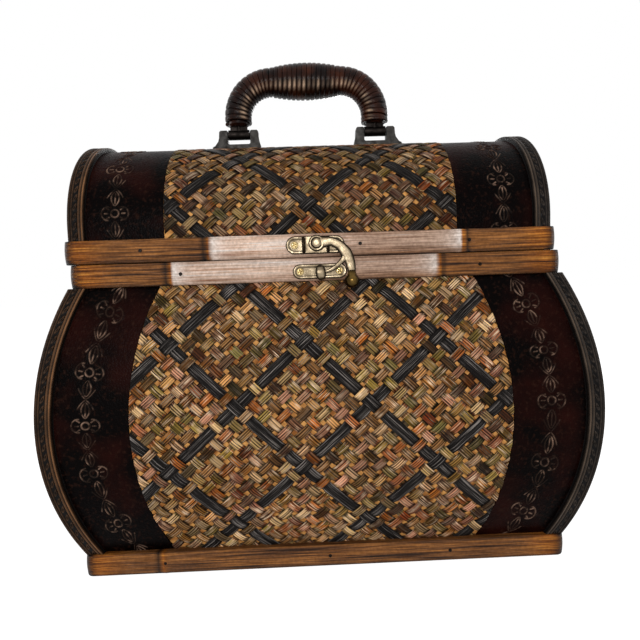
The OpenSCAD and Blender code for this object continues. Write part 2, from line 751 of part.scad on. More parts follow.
module handle_wrap() color(binding) translate([lid_shift, 0, pivot_z]) {
    last = wrap_n * wrap_rings;
    body = [for (i = [0 : last]) wrap_ring(i)];
    // Both ends run straight on for the thickness of the binding.
    go0 = (wrap_at(0, 0, 0) - wrap_at(1, 0, 0));
    go1 = (wrap_at(last, 0, 0) - wrap_at(last - 1, 0, 0));
    rings = concat([[for (p = body[0]) p + go0 / norm(go0) * wrap_t]], body,
        [[for (p = body[last]) p + go1 / norm(go1) * wrap_t]]);
    n = len(rings);
    k = wrap_sides;
    gap = min([for (i = [0 : last - wrap_rings], a = [0 : k - 1], b = [0 : k - 1], e = [-1, 0, 1])
        i + wrap_rings + e > last ? 99 : norm(body[i][a] - body[i + wrap_rings + e][b])]);
    echo(least_gap_between_turns_of_binding = gap);
    polyhedron(
        [for (r = rings, p = r) p],
        concat(
            [for (j = [1 : k - 2]) [0, j, j + 1]],
            [for (i = [0 : n - 2], j = [0 : k - 1]) [i * k + j, (i + 1) * k + j, i * k + (j + 1) % k]],
            [for (i = [0 : n - 2], j = [0 : k - 1])
                [i * k + (j + 1) % k, (i + 1) * k + j, (i + 1) * k + (j + 1) % k]],
            [for (j = [1 : k - 2]) [(n - 1) * k, (n - 1) * k + j + 1, (n - 1) * k + j]]));
}

// Hook: an eye on the rivet, an arm that sweeps over to the right and down to the knob, and a
// curved tip that turns about the rivet into the staple.
module hook_outline() {
    circle(hook_eye_r);
    difference() {
        intersection() {
            translate([1, -18] * hook_k) circle(22.5 * hook_k);
            polygon([[0, 5], [30, 6], [30, -22], [20, -22], [20, -15.5], [18.5, -13], [16.5, -12],
                [14.5, -12.5], [9.5, -8], [3, -4], [0, 0]] * hook_k);
        }
        translate([9.5, -8] * hook_k) circle(6.5 * hook_k);
    }
    difference() {
        intersection() {
            circle(hook_r + tip_w / 2);
            polygon([[0, 0], [0, -30], [30, -30], [30, -20.5]] * hook_k);
        }
        circle(hook_r - tip_w / 2);
    }
    translate([0, -hook_r]) circle(tip_w / 2);
}

module latch_hook() color(brass) translate([0, hook_y, hook_z]) difference() {
    union() {
        rotate([90, 0, 0]) linear_extrude(hook_t) hook_outline();
        translate([21.5 * hook_k, -hook_t - 1, -24.5 * hook_k]) sphere(knob_d / 2);
    }
    rotate([90, 0, 0]) cylinder(big, rivet_r + running, rivet_r + running, center = true);
}

base_board();
base_band();
front_board();
rear_board();
left_board();
right_board();
rim_band();
front_weave();
rear_weave();
front_left_leather();
front_right_leather();
rear_left_leather();
rear_right_leather();
left_end_leather();
right_end_leather();
front_left_trim();
front_right_trim();
rear_left_trim();
rear_right_trim();
catch_plate();
catch_staple();
catch_screws();
left_hinge_case_leaf();
right_hinge_case_leaf();
left_hinge_pin();
right_hinge_pin();
hinge_case_screws();
base_band_brads();
rim_band_brads();
lid_band();
lid_vault_board();
lid_left_end_board();
lid_right_end_board();
lid_weave();
lid_left_leather();
lid_right_leather();
lid_left_end_leather();
lid_right_end_leather();
lid_left_trim();
lid_right_trim();
latch_plate();
latch_rivet();
latch_screw();
left_hinge_lid_leaf();
right_hinge_lid_leaf();
hinge_lid_screws();
lid_band_brads();
left_handle_bracket();
right_handle_bracket();
left_handle_pin();
right_handle_pin();
bracket_rivets();
handle_core();
handle_wrap();
left_handle_eye();
right_handle_eye();
latch_hook();
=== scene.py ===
"""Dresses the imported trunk: woven mats, embossed leather, tooled strips, bamboo bands, latch and handle.

Sizes are millimetres in the trunk's own frame. A mesh is turned into metres when it is made.
"""

import json
import logging
import math
from dataclasses import dataclass
from enum import Enum
from typing import Callable

import bpy
import numpy as np
from mathutils import Matrix, Vector

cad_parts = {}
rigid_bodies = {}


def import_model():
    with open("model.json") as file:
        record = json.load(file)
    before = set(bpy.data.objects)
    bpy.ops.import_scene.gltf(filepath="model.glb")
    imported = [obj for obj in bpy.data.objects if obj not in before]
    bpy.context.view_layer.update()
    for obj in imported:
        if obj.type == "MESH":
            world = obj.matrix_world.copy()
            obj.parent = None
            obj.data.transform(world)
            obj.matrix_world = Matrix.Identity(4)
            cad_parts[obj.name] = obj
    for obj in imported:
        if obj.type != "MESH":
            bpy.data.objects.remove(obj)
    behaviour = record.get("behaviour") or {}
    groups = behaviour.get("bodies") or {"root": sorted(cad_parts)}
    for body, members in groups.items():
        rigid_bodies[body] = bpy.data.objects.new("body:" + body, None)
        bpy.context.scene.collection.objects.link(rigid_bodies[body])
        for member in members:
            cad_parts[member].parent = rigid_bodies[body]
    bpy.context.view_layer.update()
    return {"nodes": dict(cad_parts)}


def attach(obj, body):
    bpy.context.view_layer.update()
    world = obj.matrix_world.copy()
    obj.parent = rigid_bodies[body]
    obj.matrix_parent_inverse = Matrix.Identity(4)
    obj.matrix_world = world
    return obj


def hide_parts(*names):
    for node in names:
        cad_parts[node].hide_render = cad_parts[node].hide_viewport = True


LOG = logging.getLogger("trunk")
MM = 0.001
Array = np.ndarray
Colour = tuple[int, int, int]
Material = bpy.types.Material
Socket = bpy.types.NodeSocket


class Way(Enum):
    """The two directions in which the strips of a mat run."""

    RISING = "rising"
    FALLING = "falling"


class Side(Enum):
    """The two ends of the trunk, as the sign of X."""

    LEFT = -1
    RIGHT = 1


class Face(Enum):
    """The front and the rear of the trunk, as the sign of Y."""

    FRONT = -1
    REAR = 1


def linear(colour: Colour) -> tuple[float, float, float, float]:
    """Turns an 8-bit display colour into the linear colour that shaders take.

    Args:
        colour: Red, green and blue from 0 to 255.
    Returns:
        The linear colour with full alpha.
    """
    share = np.array(colour) / 255
    low = share / 12.92
    high = ((share + 0.055) / 1.055) ** 2.4
    red, green, blue = np.where(share <= 0.04045, low, high).tolist()
    return red, green, blue, 1.0


def smooth(low: float, high: float, value: Array) -> Array:
    """Smooth step: 0 at low, 1 at high, 3t^2 - 2t^3 between, and held outside."""
    t = np.clip((value - low) / (high - low), 0, 1)
    return t * t * (3 - 2 * t)


def line(distance: Array, width: float) -> Array:
    """A raised line: a bell curve of the distance from its middle."""
    return np.exp(-((distance / width) ** 2))


# Meshes


@dataclass
class Skin:
    """A surface: points, four-sided faces with their UVs, closing faces and named values per point."""

    points: Array
    quads: Array
    quad_uv: Array
    caps: list[Array]
    values: dict[str, Array]

    def flipped(self) -> "Skin":
        """The same surface with its faces turned round."""
        caps = [cap[::-1] for cap in self.caps]
        return Skin(self.points, self.quads[:, ::-1], self.quad_uv[:, ::-1], caps, self.values)

    def outward(self) -> "Skin":
        """The closed surface with its faces outwards: its signed volume is made positive.

        Returns:
            The surface, turned round if it faced inwards.
        """
        a, b, c, d = (self.points[self.quads[:, k]] for k in range(4))
        volume = np.einsum("ij,ij->", a, np.cross(b, c)) + np.einsum("ij,ij->", a, np.cross(c, d))
        for cap in self.caps:
            p = self.points[cap]
            volume += np.einsum("ij,ij->", np.broadcast_to(p[0], p[1:-1].shape), np.cross(p[1:-1], p[2:]))
        return self if volume > 0 else self.flipped()

    def facing(self, middle: Array) -> "Skin":
        """The open surface with its faces turned away from a point.

        Args:
            middle: A point behind the surface.
        Returns:
            The surface, turned round if it faced the point.
        """
        a, b, c, d = (self.points[self.quads[:, k]] for k in range(4))
        normal = np.cross(c - a, d - b)
        out = (a + c) / 2 - middle
        return self if np.einsum("ij,ij->", normal, out) > 0 else self.flipped()

    def moved(self, move: Callable[[Array], Array]) -> "Skin":
        """The surface with a function applied to all its points."""
        return Skin(move(self.points), self.quads, self.quad_uv, self.caps, self.values)


def grid(points: Array, uv: Array, wrap_rows: bool = False, wrap_cols: bool = False,
         values: dict[str, Array] | None = None) -> Skin:
    """Makes a surface from points on a grid of two parameters.

    Args:
        points: Rows by columns by 3.
        uv: The same by 2, with one more row or column where the grid closes on itself.
        wrap_rows: The last row joins the first.
        wrap_cols: The last column joins the first.
        values: Named values, rows by columns.
    Returns:
        The surface.
    """
    rows, cols = points.shape[:2]
    r, c = np.meshgrid(np.arange(rows if wrap_rows else rows - 1),
                       np.arange(cols if wrap_cols else cols - 1), indexing="ij")
    corners = ((0, 0), (0, 1), (1, 1), (1, 0))
    quads = np.stack([((r + i) % rows) * cols + (c + j) % cols for i, j in corners], -1)
    quad_uv = np.stack([uv[r + i, c + j] for i, j in corners], -2)
    flat = {key: np.broadcast_to(value, (rows, cols)).ravel() for key, value in (values or {}).items()}
    return Skin(points.reshape(-1, 3), quads.reshape(-1, 4), quad_uv.reshape(-1, 4, 2), [], flat)


def joined(skins: list[Skin]) -> Skin:
    """Puts several surfaces with the same named values into one.

    Args:
        skins: The surfaces.
    Returns:
        One surface with all their points and faces.
    """
    starts = np.cumsum([0] + [len(skin.points) for skin in skins])
    caps = [cap + start for skin, start in zip(skins, starts) for cap in skin.caps]
    values = {key: np.concatenate([skin.values[key] for skin in skins]) for key in skins[0].values}
    return Skin(np.concatenate([skin.points for skin in skins]),
                np.concatenate([skin.quads + start for skin, start in zip(skins, starts)]),
                np.concatenate([skin.quad_uv for skin in skins]), caps, values)


def run_length(points: Array, closed: bool = False) -> Array:
    """Length along a line through points, counted from the first.

    Args:
        points: The points in order.
        closed: The line goes back to its first point.
    Returns:
        The length at each point, with one more at the end of a closed line.
    """
    stops = np.concatenate([points, points[:1]]) if closed else points
    return np.concatenate([[0], np.cumsum(np.linalg.norm(np.diff(stops, axis=0), axis=1))])


def end_caps(rows: int, cols: int) -> list[Array]:
    """The two faces that close a grid with joined columns at its first and at its last row."""
    return [np.arange(cols)[::-1], (rows - 1) * cols + np.arange(cols)]


def tube(path: Array, across: Array, up: Array, section: Array,
         values: dict[str, Array] | None = None) -> Skin:
    """Carries a closed section along a path and closes both ends.

    A point is the path's point plus the section's first number along across and its second along up.

    Args:
        path: Points of the path, n by 3.
        across: Unit vectors across the path, n by 3.
        up: Unit vectors up from the path, n by 3.
        section: The section's points, m by 2 or n by m by 2.
        values: Named values, n by m.
    Returns:
        The closed surface, its UV in millimetres along the path and round the section.
    """
    section = np.broadcast_to(section, (len(path), *section.shape[-2:]))
    points = path[:, None] + across[:, None] * section[..., :1] + up[:, None] * section[..., 1:]
    lengths = run_length(path), run_length(section[len(path) // 2], closed=True)
    uv = np.stack(np.meshgrid(*lengths, indexing="ij"), -1)
    skin = grid(points, uv, wrap_cols=True, values=values)
    skin.caps = end_caps(*points.shape[:2])
    return skin.outward()


def lathe(profile: Array, sides: int) -> Skin:
    """Turns a profile about Z and closes both ends.

    Args:
        profile: Radius, height, and dirt with painted shade, of each ring, with no radius of 0.
        sides: Points in each ring.
    Returns:
        The closed surface.
    """
    angle = np.arange(sides) * 2 * np.pi / sides
    radius, height, dirt = profile[:, :1], profile[:, 1:2], profile[:, 2:]
    points = np.stack([radius * np.cos(angle), radius * np.sin(angle), height + 0 * angle], -1)
    uv = np.stack(np.meshgrid(np.arange(len(profile)), np.arange(sides + 1), indexing="ij"), -1)
    skin = grid(points, uv.astype(float), wrap_cols=True, values={"dirt": dirt + 0 * angle})
    skin.caps = end_caps(len(profile), sides)
    return skin.outward()


def plate(outline: Array, steps: Array) -> Skin:
    """Stacks insets of an outline into a plate with shaped edges.

    Each ring is the outline moved inwards along its corner normals by a step's inset, at its height.

    Args:
        outline: Corners in order against the clock, n by 2.
        steps: Inset, height, and dirt with painted shade, of each ring, from the back to the front.
    Returns:
        The closed surface, the outline in X and Y and the height in Z.
    """
    edge = np.roll(outline, -1, 0) - outline
    normal = np.stack([-edge[:, 1], edge[:, 0]], -1) / np.linalg.norm(edge, axis=1, keepdims=True)
    both = normal + np.roll(normal, 1, 0)
    inner = both * 2 / np.maximum(np.einsum("ij,ij->i", both, both), 0.8)[:, None]
    ring = outline[None] + inner[None] * steps[:, :1, None]
    points = np.concatenate([ring, np.broadcast_to(steps[:, 1:2, None], (*ring.shape[:2], 1))], -1)
    uv = np.concatenate([ring, ring[:, :1]], 1)
    skin = grid(points, uv, wrap_cols=True, values={"dirt": steps[:, 2:]})
    skin.caps = end_caps(*points.shape[:2])
    return skin.outward()


def stadium(length: float, height: float, arc: int = 16) -> Array:
    """Outline of a plate with half-round ends, against the clock, about its middle.

    Args:
        length: Length over both ends.
        height: Height, which is twice the ends' radius.
        arc: Points on each end.
    Returns:
        The outline's points.
    """
    angle = np.linspace(-np.pi / 2, np.pi / 2, arc)
    right = np.stack([np.cos(angle), np.sin(angle)], -1) * height / 2
    shift = np.array([(length - height) / 2, 0])
    return np.concatenate([right + shift, -right - shift])


def ovals(angle: Array, powers: tuple[float, float], wide: Array, high: Array) -> Array:
    """Oval sections of a tube: cosine and sine of an angle, bent by powers and scaled at each place.

    Args:
        angle: Angles of the section's points.
        powers: Powers of the cosine and of the sine; the lower, the squarer.
        wide: Half width at each place.
        high: Half height at each place.
    Returns:
        Places by section points by 2.
    """
    x, y = np.cos(angle), np.sin(angle)
    unit = np.stack([np.sign(x) * np.abs(x) ** powers[0], np.sign(y) * np.abs(y) ** powers[1]], -1)
    return unit[None] * np.stack([wide, high], -1)[:, None]


def on_front(x: float, y: float, z: float) -> Callable[[Array], Array]:
    """A move that stands a plate drawn in X-Y, with its height in Z, on a front face at a point."""
    return lambda p: np.stack([x + p[:, 0], y - p[:, 2], z + p[:, 1]], -1)


def turned_half(points: Array) -> Array:
    """Points turned half round about Z."""
    return points * np.array([-1, -1, 1])


# Shaders


class Wires:
    """Short calls that add and join the nodes of one node tree."""

    def __init__(self, tree: bpy.types.NodeTree) -> None:
        """Takes the tree to work on."""
        self.tree = tree

    def add(self, kind: str, inputs: dict | None = None, **settings: object) -> bpy.types.Node:
        """Adds a node.

        Args:
            kind: Blender's name of the node.
            inputs: Values or sockets for its inputs.
            settings: Properties of the node.
        Returns:
            The node.
        """
        node = self.tree.nodes.new(kind)
        for key, value in settings.items():
            setattr(node, key, value)
        for key, value in (inputs or {}).items():
            if isinstance(value, Socket):
                self.tree.links.new(value, node.inputs[key])
            else:
                node.inputs[key].default_value = value
        return node

    def math(self, operation: str, first: Socket | float, second: Socket | float = 0.0) -> Socket:
        """A Math node's result."""
        return self.add("ShaderNodeMath", {0: first, 1: second}, operation=operation).outputs[0]

    def mix(self, share: Socket | float, first: object, second: object, blend: str = "MIX") -> Socket:
        """A colour mix of two colours or sockets."""
        inputs = {0: share, 6: first, 7: second}
        return self.add("ShaderNodeMix", inputs, data_type="RGBA", blend_type=blend).outputs[2]

    def spread(self, value: Socket, low: Socket | float, high: Socket | float,
               start: float = 0.0, end: float = 1.0) -> Socket:
        """A value mapped from low..high to start..end and held there."""
        inputs = {0: value, 1: low, 2: high, 3: start, 4: end}
        return self.add("ShaderNodeMapRange", inputs, clamp=True).outputs[0]

    def ramp(self, share: Socket, stops: list[tuple[float, Colour]]) -> Socket:
        """A colour ramp through display colours.

        Args:
            share: Place on the ramp, from 0 to 1.
            stops: Positions and colours in order.
        Returns:
            The colour.
        """
        node = self.add("ShaderNodeValToRGB", {0: share})
        ramp = node.color_ramp
        while len(ramp.elements) < len(stops):
            ramp.elements.new(1.0)
        for element, (position, colour) in zip(ramp.elements, stops):
            element.position = position
            element.color = linear(colour)
        return node.outputs[0]

    def noise(self, vector: Socket, scale: Socket | float, detail: float = 2.0,
              rough: float = 0.5) -> Socket:
        """A noise value."""
        inputs = {"Vector": vector, "Scale": scale, "Detail": detail, "Roughness": rough}
        return self.add("ShaderNodeTexNoise", inputs).outputs[0]

    def value(self, name: str) -> Socket:
        """A named value of the piece."""
        return self.add("ShaderNodeAttribute", attribute_name=name).outputs["Fac"]

    def along(self) -> Socket:
        """The piece's own UV map, in millimetres."""
        return self.add("ShaderNodeTexCoord").outputs["UV"]

    def place(self) -> Socket:
        """The place on the trunk, in metres."""
        return self.add("ShaderNodeTexCoord").outputs["Object"]

    def group(self, name: str, **inputs: object) -> Socket:
        """The first output of a shared node group."""
        return self.add("ShaderNodeGroup", inputs, node_tree=bpy.data.node_groups[name]).outputs[0]

    def bump(self, height: Socket, distance: float) -> Socket:
        """A normal from a height of 0 to 1 that stands for a distance in millimetres."""
        inputs = {"Height": height, "Distance": distance * MM, "Strength": 1.0}
        return self.add("ShaderNodeBump", inputs).outputs[0]


@dataclass(frozen=True)
class SharedEffect:
    """A node group used by several finishes: its name, its number inputs and how its value is made."""

    name: str
    inputs: tuple[tuple[str, float], ...]
    wire: Callable[[Wires, dict[str, Socket]], Socket]

    def build(self) -> None:
        """Makes the group, with a vector input, the number inputs and one value output."""
        tree = bpy.data.node_groups.new(self.name, "ShaderNodeTree")
        tree.interface.new_socket("Vector", in_out="INPUT", socket_type="NodeSocketVector")
        for key, value in self.inputs:
            number = tree.interface.new_socket(key, in_out="INPUT", socket_type="NodeSocketFloat")
            number.default_value = value
        tree.interface.new_socket("Value", in_out="OUTPUT", socket_type="NodeSocketFloat")
        wires = Wires(tree)
        source = wires.add("NodeGroupInput")
        sink = wires.add("NodeGroupOutput")
        result = self.wire(wires, {socket.name: socket for socket in source.outputs})
        tree.links.new(result, sink.inputs[0])


def wire_streaks(wires: Wires, inputs: dict[str, Socket]) -> Socket:
    """Long fibres: noise of a vector scaled by Along in X and by Across in Y and Z, sharpened by Hard.

    Args:
        wires: The group's tree.
        inputs: The group's inputs by name.
    Returns:
        The value to put out.
    """
    across = inputs["Across"]
    scale = wires.add("ShaderNodeCombineXYZ", {0: inputs["Along"], 1: across, 2: across}).outputs[0]
    vector = wires.add("ShaderNodeVectorMath", {0: inputs["Vector"], 1: scale}, operation="MULTIPLY")
    centred = wires.math("SUBTRACT", wires.noise(vector.outputs[0], 1.0, 3.0, 0.6), 0.5)
    hard = wires.math("MULTIPLY", centred, inputs["Hard"])
    return wires.spread(wires.math("ADD", hard, 0.5), 0.0, 1.0)


def wire_mottle(wires: Wires, inputs: dict[str, Socket]) -> Socket:
    """Soft patches: noise at Scale, cut between Low and High."""
    noise = wires.noise(inputs["Vector"], inputs["Scale"], 5.0)
    return wires.spread(noise, inputs["Low"], inputs["High"])


def wire_pebble(wires: Wires, inputs: dict[str, Socket]) -> Socket:
    """Leather grain: the distance to the nearest of many cells, broken up by fine noise.

    Args:
        wires: The group's tree.
        inputs: The group's inputs by name.
    Returns:
        The value to put out.
    """
    cells = wires.add("ShaderNodeTexVoronoi", {"Vector": inputs["Vector"], "Scale": inputs["Scale"]})
    fine = wires.noise(inputs["Vector"], inputs["Scale"], 3.0)
    return wires.math("MULTIPLY", cells.outputs["Distance"], fine)


def wire_threads(wires: Wires, inputs: dict[str, Socket]) -> Socket:
    """Fine parallel lines: a wave across the vector's Y that repeats every Gap, swayed by slow noise.

    Args:
        wires: The group's tree.
        inputs: The group's inputs by name.
    Returns:
        The value to put out.
    """
    across = wires.add("ShaderNodeSeparateXYZ", {0: inputs["Vector"]}).outputs[1]
    sway = wires.math("MULTIPLY", wires.noise(inputs["Vector"], 0.1, 1.0), 3.0)
    turns = wires.math("DIVIDE", wires.math("MULTIPLY", across, math.tau), inputs["Gap"])
    return wires.spread(wires.math("SINE", wires.math("ADD", turns, sway)), -1.0, 1.0)


EFFECTS = (
    SharedEffect("Streaks", (("Along", 0.02), ("Across", 1.0), ("Hard", 2.0)), wire_streaks),
    SharedEffect("Mottle", (("Scale", 30.0), ("Low", 0.4), ("High", 0.6)), wire_mottle),
    SharedEffect("Pebble", (("Scale", 900.0),), wire_pebble),
    SharedEffect("Threads", (("Gap", 1.6),), wire_threads),
)


def finish(name: str, **constants: object) -> tuple[Material, Wires, bpy.types.Node]:
    """Starts a material.

    Args:
        name: The material's name.
        constants: Values set on the shader's own sockets, their names with spaces as underscores.
    Returns:
        The material, its wires and its Principled shader.
    """
    material = bpy.data.materials.new(name)
    material.use_nodes = True
    shader = material.node_tree.nodes["Principled BSDF"]
    for key, value in constants.items():
        shader.inputs[key.replace("_", " ")].default_value = value
    return material, Wires(material.node_tree), shader


def dress(wires: Wires, shader: bpy.types.Node, colour: Socket, rough: Socket, normal: Socket) -> None:
    """Joins a colour, a roughness and a normal to a shader."""
    for key, socket in (("Base Color", colour), ("Roughness", rough), ("Normal", normal)):
        wires.tree.links.new(socket, shader.inputs[key])


@dataclass(frozen=True)
class SplitBamboo:
    """Varnished split bamboo with dark and orange fibres; where the piece says, pale and white with painted
    highlight, scorched with painted shade.
    """

    dark: Colour = (46, 26, 13)
    brown: Colour = (126, 84, 50)
    orange: Colour = (176, 118, 62)
    burnt: Colour = (92, 44, 10)
    amber: Colour = (196, 114, 28)
    honey: Colour = (238, 164, 70)
    straw: Colour = (200, 146, 114)
    cream: Colour = (240, 204, 180)
    pale: Colour = (254, 227, 208)
    white: Colour = (253, 247, 243)
    stain: Colour = (92, 54, 30)
    scorch_shade_colour: Colour = (14, 8, 5)

    def build(self) -> Material:
        """Makes the material.

        Returns:
            The material.
        """
        material, wires, shader = finish("split_bamboo", Specular_IOR_Level=0.12)
        along = wires.along()
        fibre = wires.group("Streaks", Vector=along, Along=0.012, Across=0.6, Hard=3.0)
        fine = wires.group("Streaks", Vector=along, Along=0.04, Across=1.5, Hard=4.0)
        patch = wires.group("Mottle", Vector=wires.place(), Scale=26.0, Low=0.38, High=0.7)
        speck = wires.group("Mottle", Vector=wires.place(), Scale=520.0, Low=0.35, High=0.65)
        plain = [(0.05, self.dark), (0.4, self.brown), (0.8, self.orange), (1.0, self.brown)]
        glow = [(0.0, self.burnt), (0.55, self.amber), (1.0, self.honey)]
        light = [(0.0, self.straw), (0.25, self.cream), (0.5, self.pale), (1.0, self.white)]
        body = wires.mix(wires.value("amber"), wires.ramp(fibre, plain), wires.ramp(fibre, glow))
        # Pale skin between the joints, which also stands for a painted highlight.
        body = wires.mix(wires.value("pale"), body, wires.ramp(fibre, light))
        stained = wires.math("MULTIPLY", wires.spread(patch, 0.0, 1.0, 0.0, 0.32),
                             wires.spread(wires.value("pale"), 0.0, 1.0, 1.0, 0.4))
        body = wires.mix(stained, body, linear(self.stain), "MULTIPLY")
        # White beside the joints, flecked by the specks: partly bleached, partly painted highlight.
        bleach_and_highlight = wires.math("MULTIPLY", wires.value("white"), wires.spread(speck, 0.0, 1.0, 1.0, 0.75))
        body = wires.mix(bleach_and_highlight, body, linear(self.white))
        # Scorch and painted shade: scorched corners, with painted shade on the end runs and along the
        # band's edges.
        body = wires.mix(wires.value("char"), body, linear(self.scorch_shade_colour))
        dots = wires.mix(speck, (1.18, 1.16, 1.14, 1), (0.76, 0.72, 0.68, 1))
        body = wires.mix(0.7, body, dots, "MULTIPLY")
        grain = wires.mix(fine, (0.36, 0.3, 0.25, 1), (1.24, 1.22, 1.2, 1))
        # Less grain where the pale and white parts carry the painted highlight.
        bare = wires.math("MAXIMUM", wires.value("white"), wires.value("pale"))
        colour = wires.mix(wires.spread(bare, 0.0, 1.0, 0.9, 0.2), body, grain, "MULTIPLY")
        rough = wires.spread(fine, 0.0, 1.0, 0.45, 0.28)
        dress(wires, shader, colour, rough, wires.bump(fine, 0.2))
        return material


@dataclass(frozen=True)
class WovenStrip:
    """Split cane strips in rust, olive, tan and purple-brown, some dyed near black, with fibres, painted
    glints and painted shade.
    """

    tones: tuple[Colour, ...] = (
        (130, 56, 24), (134, 114, 52), (232, 194, 144), (140, 94, 78), (178, 100, 36), (114, 106, 60),
        (206, 150, 94), (76, 50, 28), (208, 150, 122))
    black: Colour = (19, 16, 15)
    ash: Colour = (138, 130, 124)
    glint: Colour = (250, 216, 180)
    shadow: Colour = (9, 6, 4)

    def build(self) -> Material:
        """Makes the material.

        Returns:
            The material.
        """
        material, wires, shader = finish("woven_strip", Specular_IOR_Level=0.06)
        along = wires.along()
        last = len(self.tones) - 1
        base = wires.ramp(wires.value("tone"), [(k / last, tone) for k, tone in enumerate(self.tones)])
        thread = wires.group("Threads", Vector=along, Gap=1.5)
        broken = wires.group("Streaks", Vector=along, Along=0.02, Across=0.7, Hard=4.0)
        groove = wires.spread(wires.math("ADD", thread, wires.math("MULTIPLY", broken, 1.2)), 0.5, 1.75)
        hair = wires.group("Streaks", Vector=along, Along=0.03, Across=1.4, Hard=5.0)
        cell = wires.noise(along, 0.13, 1.0)
        depth = wires.mix(groove, (0.12, 0.095, 0.075, 1), (1.74, 1.64, 1.5, 1))
        plain = wires.mix(1.0, base, depth, "MULTIPLY")
        # Painted highlight: glints along some fibres, brighter on some stretches of a strip.
        bright = wires.math("MULTIPLY", wires.spread(hair, 0.55, 0.95),
                            wires.spread(cell, 0.42, 0.64, 0.05, 1.0))
        plain = wires.mix(bright, plain, linear(self.glint))
        ashen = wires.math("MULTIPLY", wires.spread(hair, 0.5, 1.0),
                           wires.spread(broken, 0.3, 0.8, 0.1, 1.0))
        dyed = wires.mix(ashen, linear(self.black), linear(self.ash))
        colour = wires.mix(wires.value("dark"), plain, dyed)
        # Painted shade where a strip dips under (low), along its side edges (edge), and by its lit share.
        shade = wires.math("MULTIPLY", wires.spread(wires.value("low"), 0.0, 1.0, 1.0, 0.2),
                           wires.spread(wires.value("edge"), 0.0, 1.0, 1.0, 0.12))
        shade = wires.math("MULTIPLY", shade, wires.value("lit"))
        colour = wires.mix(shade, linear(self.shadow), colour)
        rough = wires.spread(hair, 0.0, 1.0, 0.6, 0.36)
        dress(wires, shader, colour, rough, wires.bump(groove, 0.3))
        return material


@dataclass(frozen=True)
class MatBacking:
    """The tan sheet that shows between the strips of a mat."""

    tan: Colour = (226, 164, 92)
    brown: Colour = (146, 90, 42)

    def build(self) -> Material:
        """Makes the material.

        Returns:
            The material.
        """
        material, wires, shader = finish("mat_backing", Specular_IOR_Level=0.15)
        patch = wires.group("Mottle", Vector=wires.place(), Scale=190.0, Low=0.36, High=0.64)
        colour = wires.mix(patch, linear(self.tan), linear(self.brown))
        dress(wires, shader, colour, wires.spread(patch, 0.0, 1.0, 0.6, 0.75), wires.bump(patch, 0.1))
        return material


@dataclass(frozen=True)
class EmbossedLeather:
    """Near-black leather with red-brown patches, a fine grain, tooled lines lighter by wear and painted
    highlight, and troughs darkened with painted shade.
    """

    black: Colour = (3, 1, 1)
    red: Colour = (38, 11, 7)
    grain: Colour = (48, 27, 19)
    line: Colour = (184, 148, 126)
    deep: Colour = (5, 4, 4)

    def build(self) -> Material:
        """Makes the material.

        Returns:
            The material.
        """
        material, wires, shader = finish("embossed_leather", Specular_IOR_Level=0.025)
        place = wires.place()
        patch = wires.group("Mottle", Vector=place, Scale=24.0, Low=0.46, High=0.72)
        small = wires.group("Mottle", Vector=place, Scale=420.0, Low=0.54, High=0.76)
        pebble = wires.group("Pebble", Vector=place, Scale=800.0)
        colour = wires.mix(patch, linear(self.black), linear(self.red))
        colour = wires.mix(wires.spread(small, 0.0, 1.0, 0.0, 0.6), colour, linear(self.grain))
        # Painted shade in the troughs beside the tooled lines.
        pressed = wires.spread(wires.value("trough"), 0.0, 1.0, 0.0, 0.8)
        colour = wires.mix(pressed, colour, linear(self.deep))
        # The tooled lines lighter in patches: wear and painted highlight.
        lit = wires.group("Mottle", Vector=place, Scale=170.0, Low=0.48, High=0.7)
        worn = wires.math("MULTIPLY", wires.value("relief"), wires.spread(lit, 0.0, 1.0, 0.05, 0.75))
        colour = wires.mix(worn, colour, linear(self.line))
        rough = wires.spread(pebble, 0.0, 0.5, 0.26, 0.5)
        dress(wires, shader, colour, rough, wires.bump(pebble, 0.3))
        return material


@dataclass(frozen=True)
class TooledStrip:
    """Tooled edging, dark in its grooves and rubbed to tan or grey-brown on its ridges."""

    name: str = "tooled_strip"
    worn: Colour = (92, 66, 46)
    rim: Colour = (140, 98, 64)
    deep: Colour = (10, 7, 6)

    def build(self) -> Material:
        """Makes the material.

        Returns:
            The material.
        """
        material, wires, shader = finish(self.name, Specular_IOR_Level=0.07)
        place = wires.place()
        patch = wires.group("Mottle", Vector=place, Scale=70.0, Low=0.35, High=0.7)
        small = wires.group("Mottle", Vector=place, Scale=420.0, Low=0.4, High=0.7)
        pebble = wires.group("Pebble", Vector=place, Scale=1100.0)
        rubbed = wires.math("MULTIPLY", wires.value("raised"), wires.spread(patch, 0.0, 1.0, 1.0, 0.35))
        rubbed = wires.math("MULTIPLY", rubbed, wires.spread(small, 0.0, 1.0, 1.0, 0.45))
        colour = wires.mix(rubbed, linear(self.deep), linear(self.worn))
        tan = wires.math("MULTIPLY", wires.value("rim"), wires.spread(patch, 0.0, 1.0, 1.0, 0.4))
        colour = wires.mix(tan, colour, linear(self.rim))
        rough = wires.spread(pebble, 0.0, 0.5, 0.3, 0.55)
        dress(wires, shader, colour, rough, wires.bump(pebble, 0.2))
        return material


@dataclass(frozen=True)
class OldMetal:
    """Cast metal with dark patches, fine pits, a dull sheen, and dirt with painted shade where the piece
    says.
    """

    name: str
    bright: Colour
    dark: Colour
    low_rough: float = 0.28
    high_rough: float = 0.55
    pits: float = 0.08
    dirt: Colour = (20, 15, 9)

    def build(self) -> Material:
        """Makes the material.

        Returns:
            The material.
        """
        material, wires, shader = finish(self.name, Metallic=1.0)
        place = wires.place()
        patch = wires.group("Mottle", Vector=place, Scale=240.0, Low=0.4, High=0.72)
        pit = wires.group("Pebble", Vector=place, Scale=1500.0)
        colour = wires.mix(wires.spread(patch, 0.0, 1.0, 0.0, 0.8), linear(self.bright), linear(self.dark))
        # Dirt and painted shade: dark outlines, slots and hollows where the piece says.
        colour = wires.mix(wires.value("dirt"), colour, linear(self.dirt))
        rough = wires.spread(patch, 0.0, 1.0, self.low_rough, self.high_rough)
        dress(wires, shader, colour, rough, wires.bump(pit, self.pits))
        return material


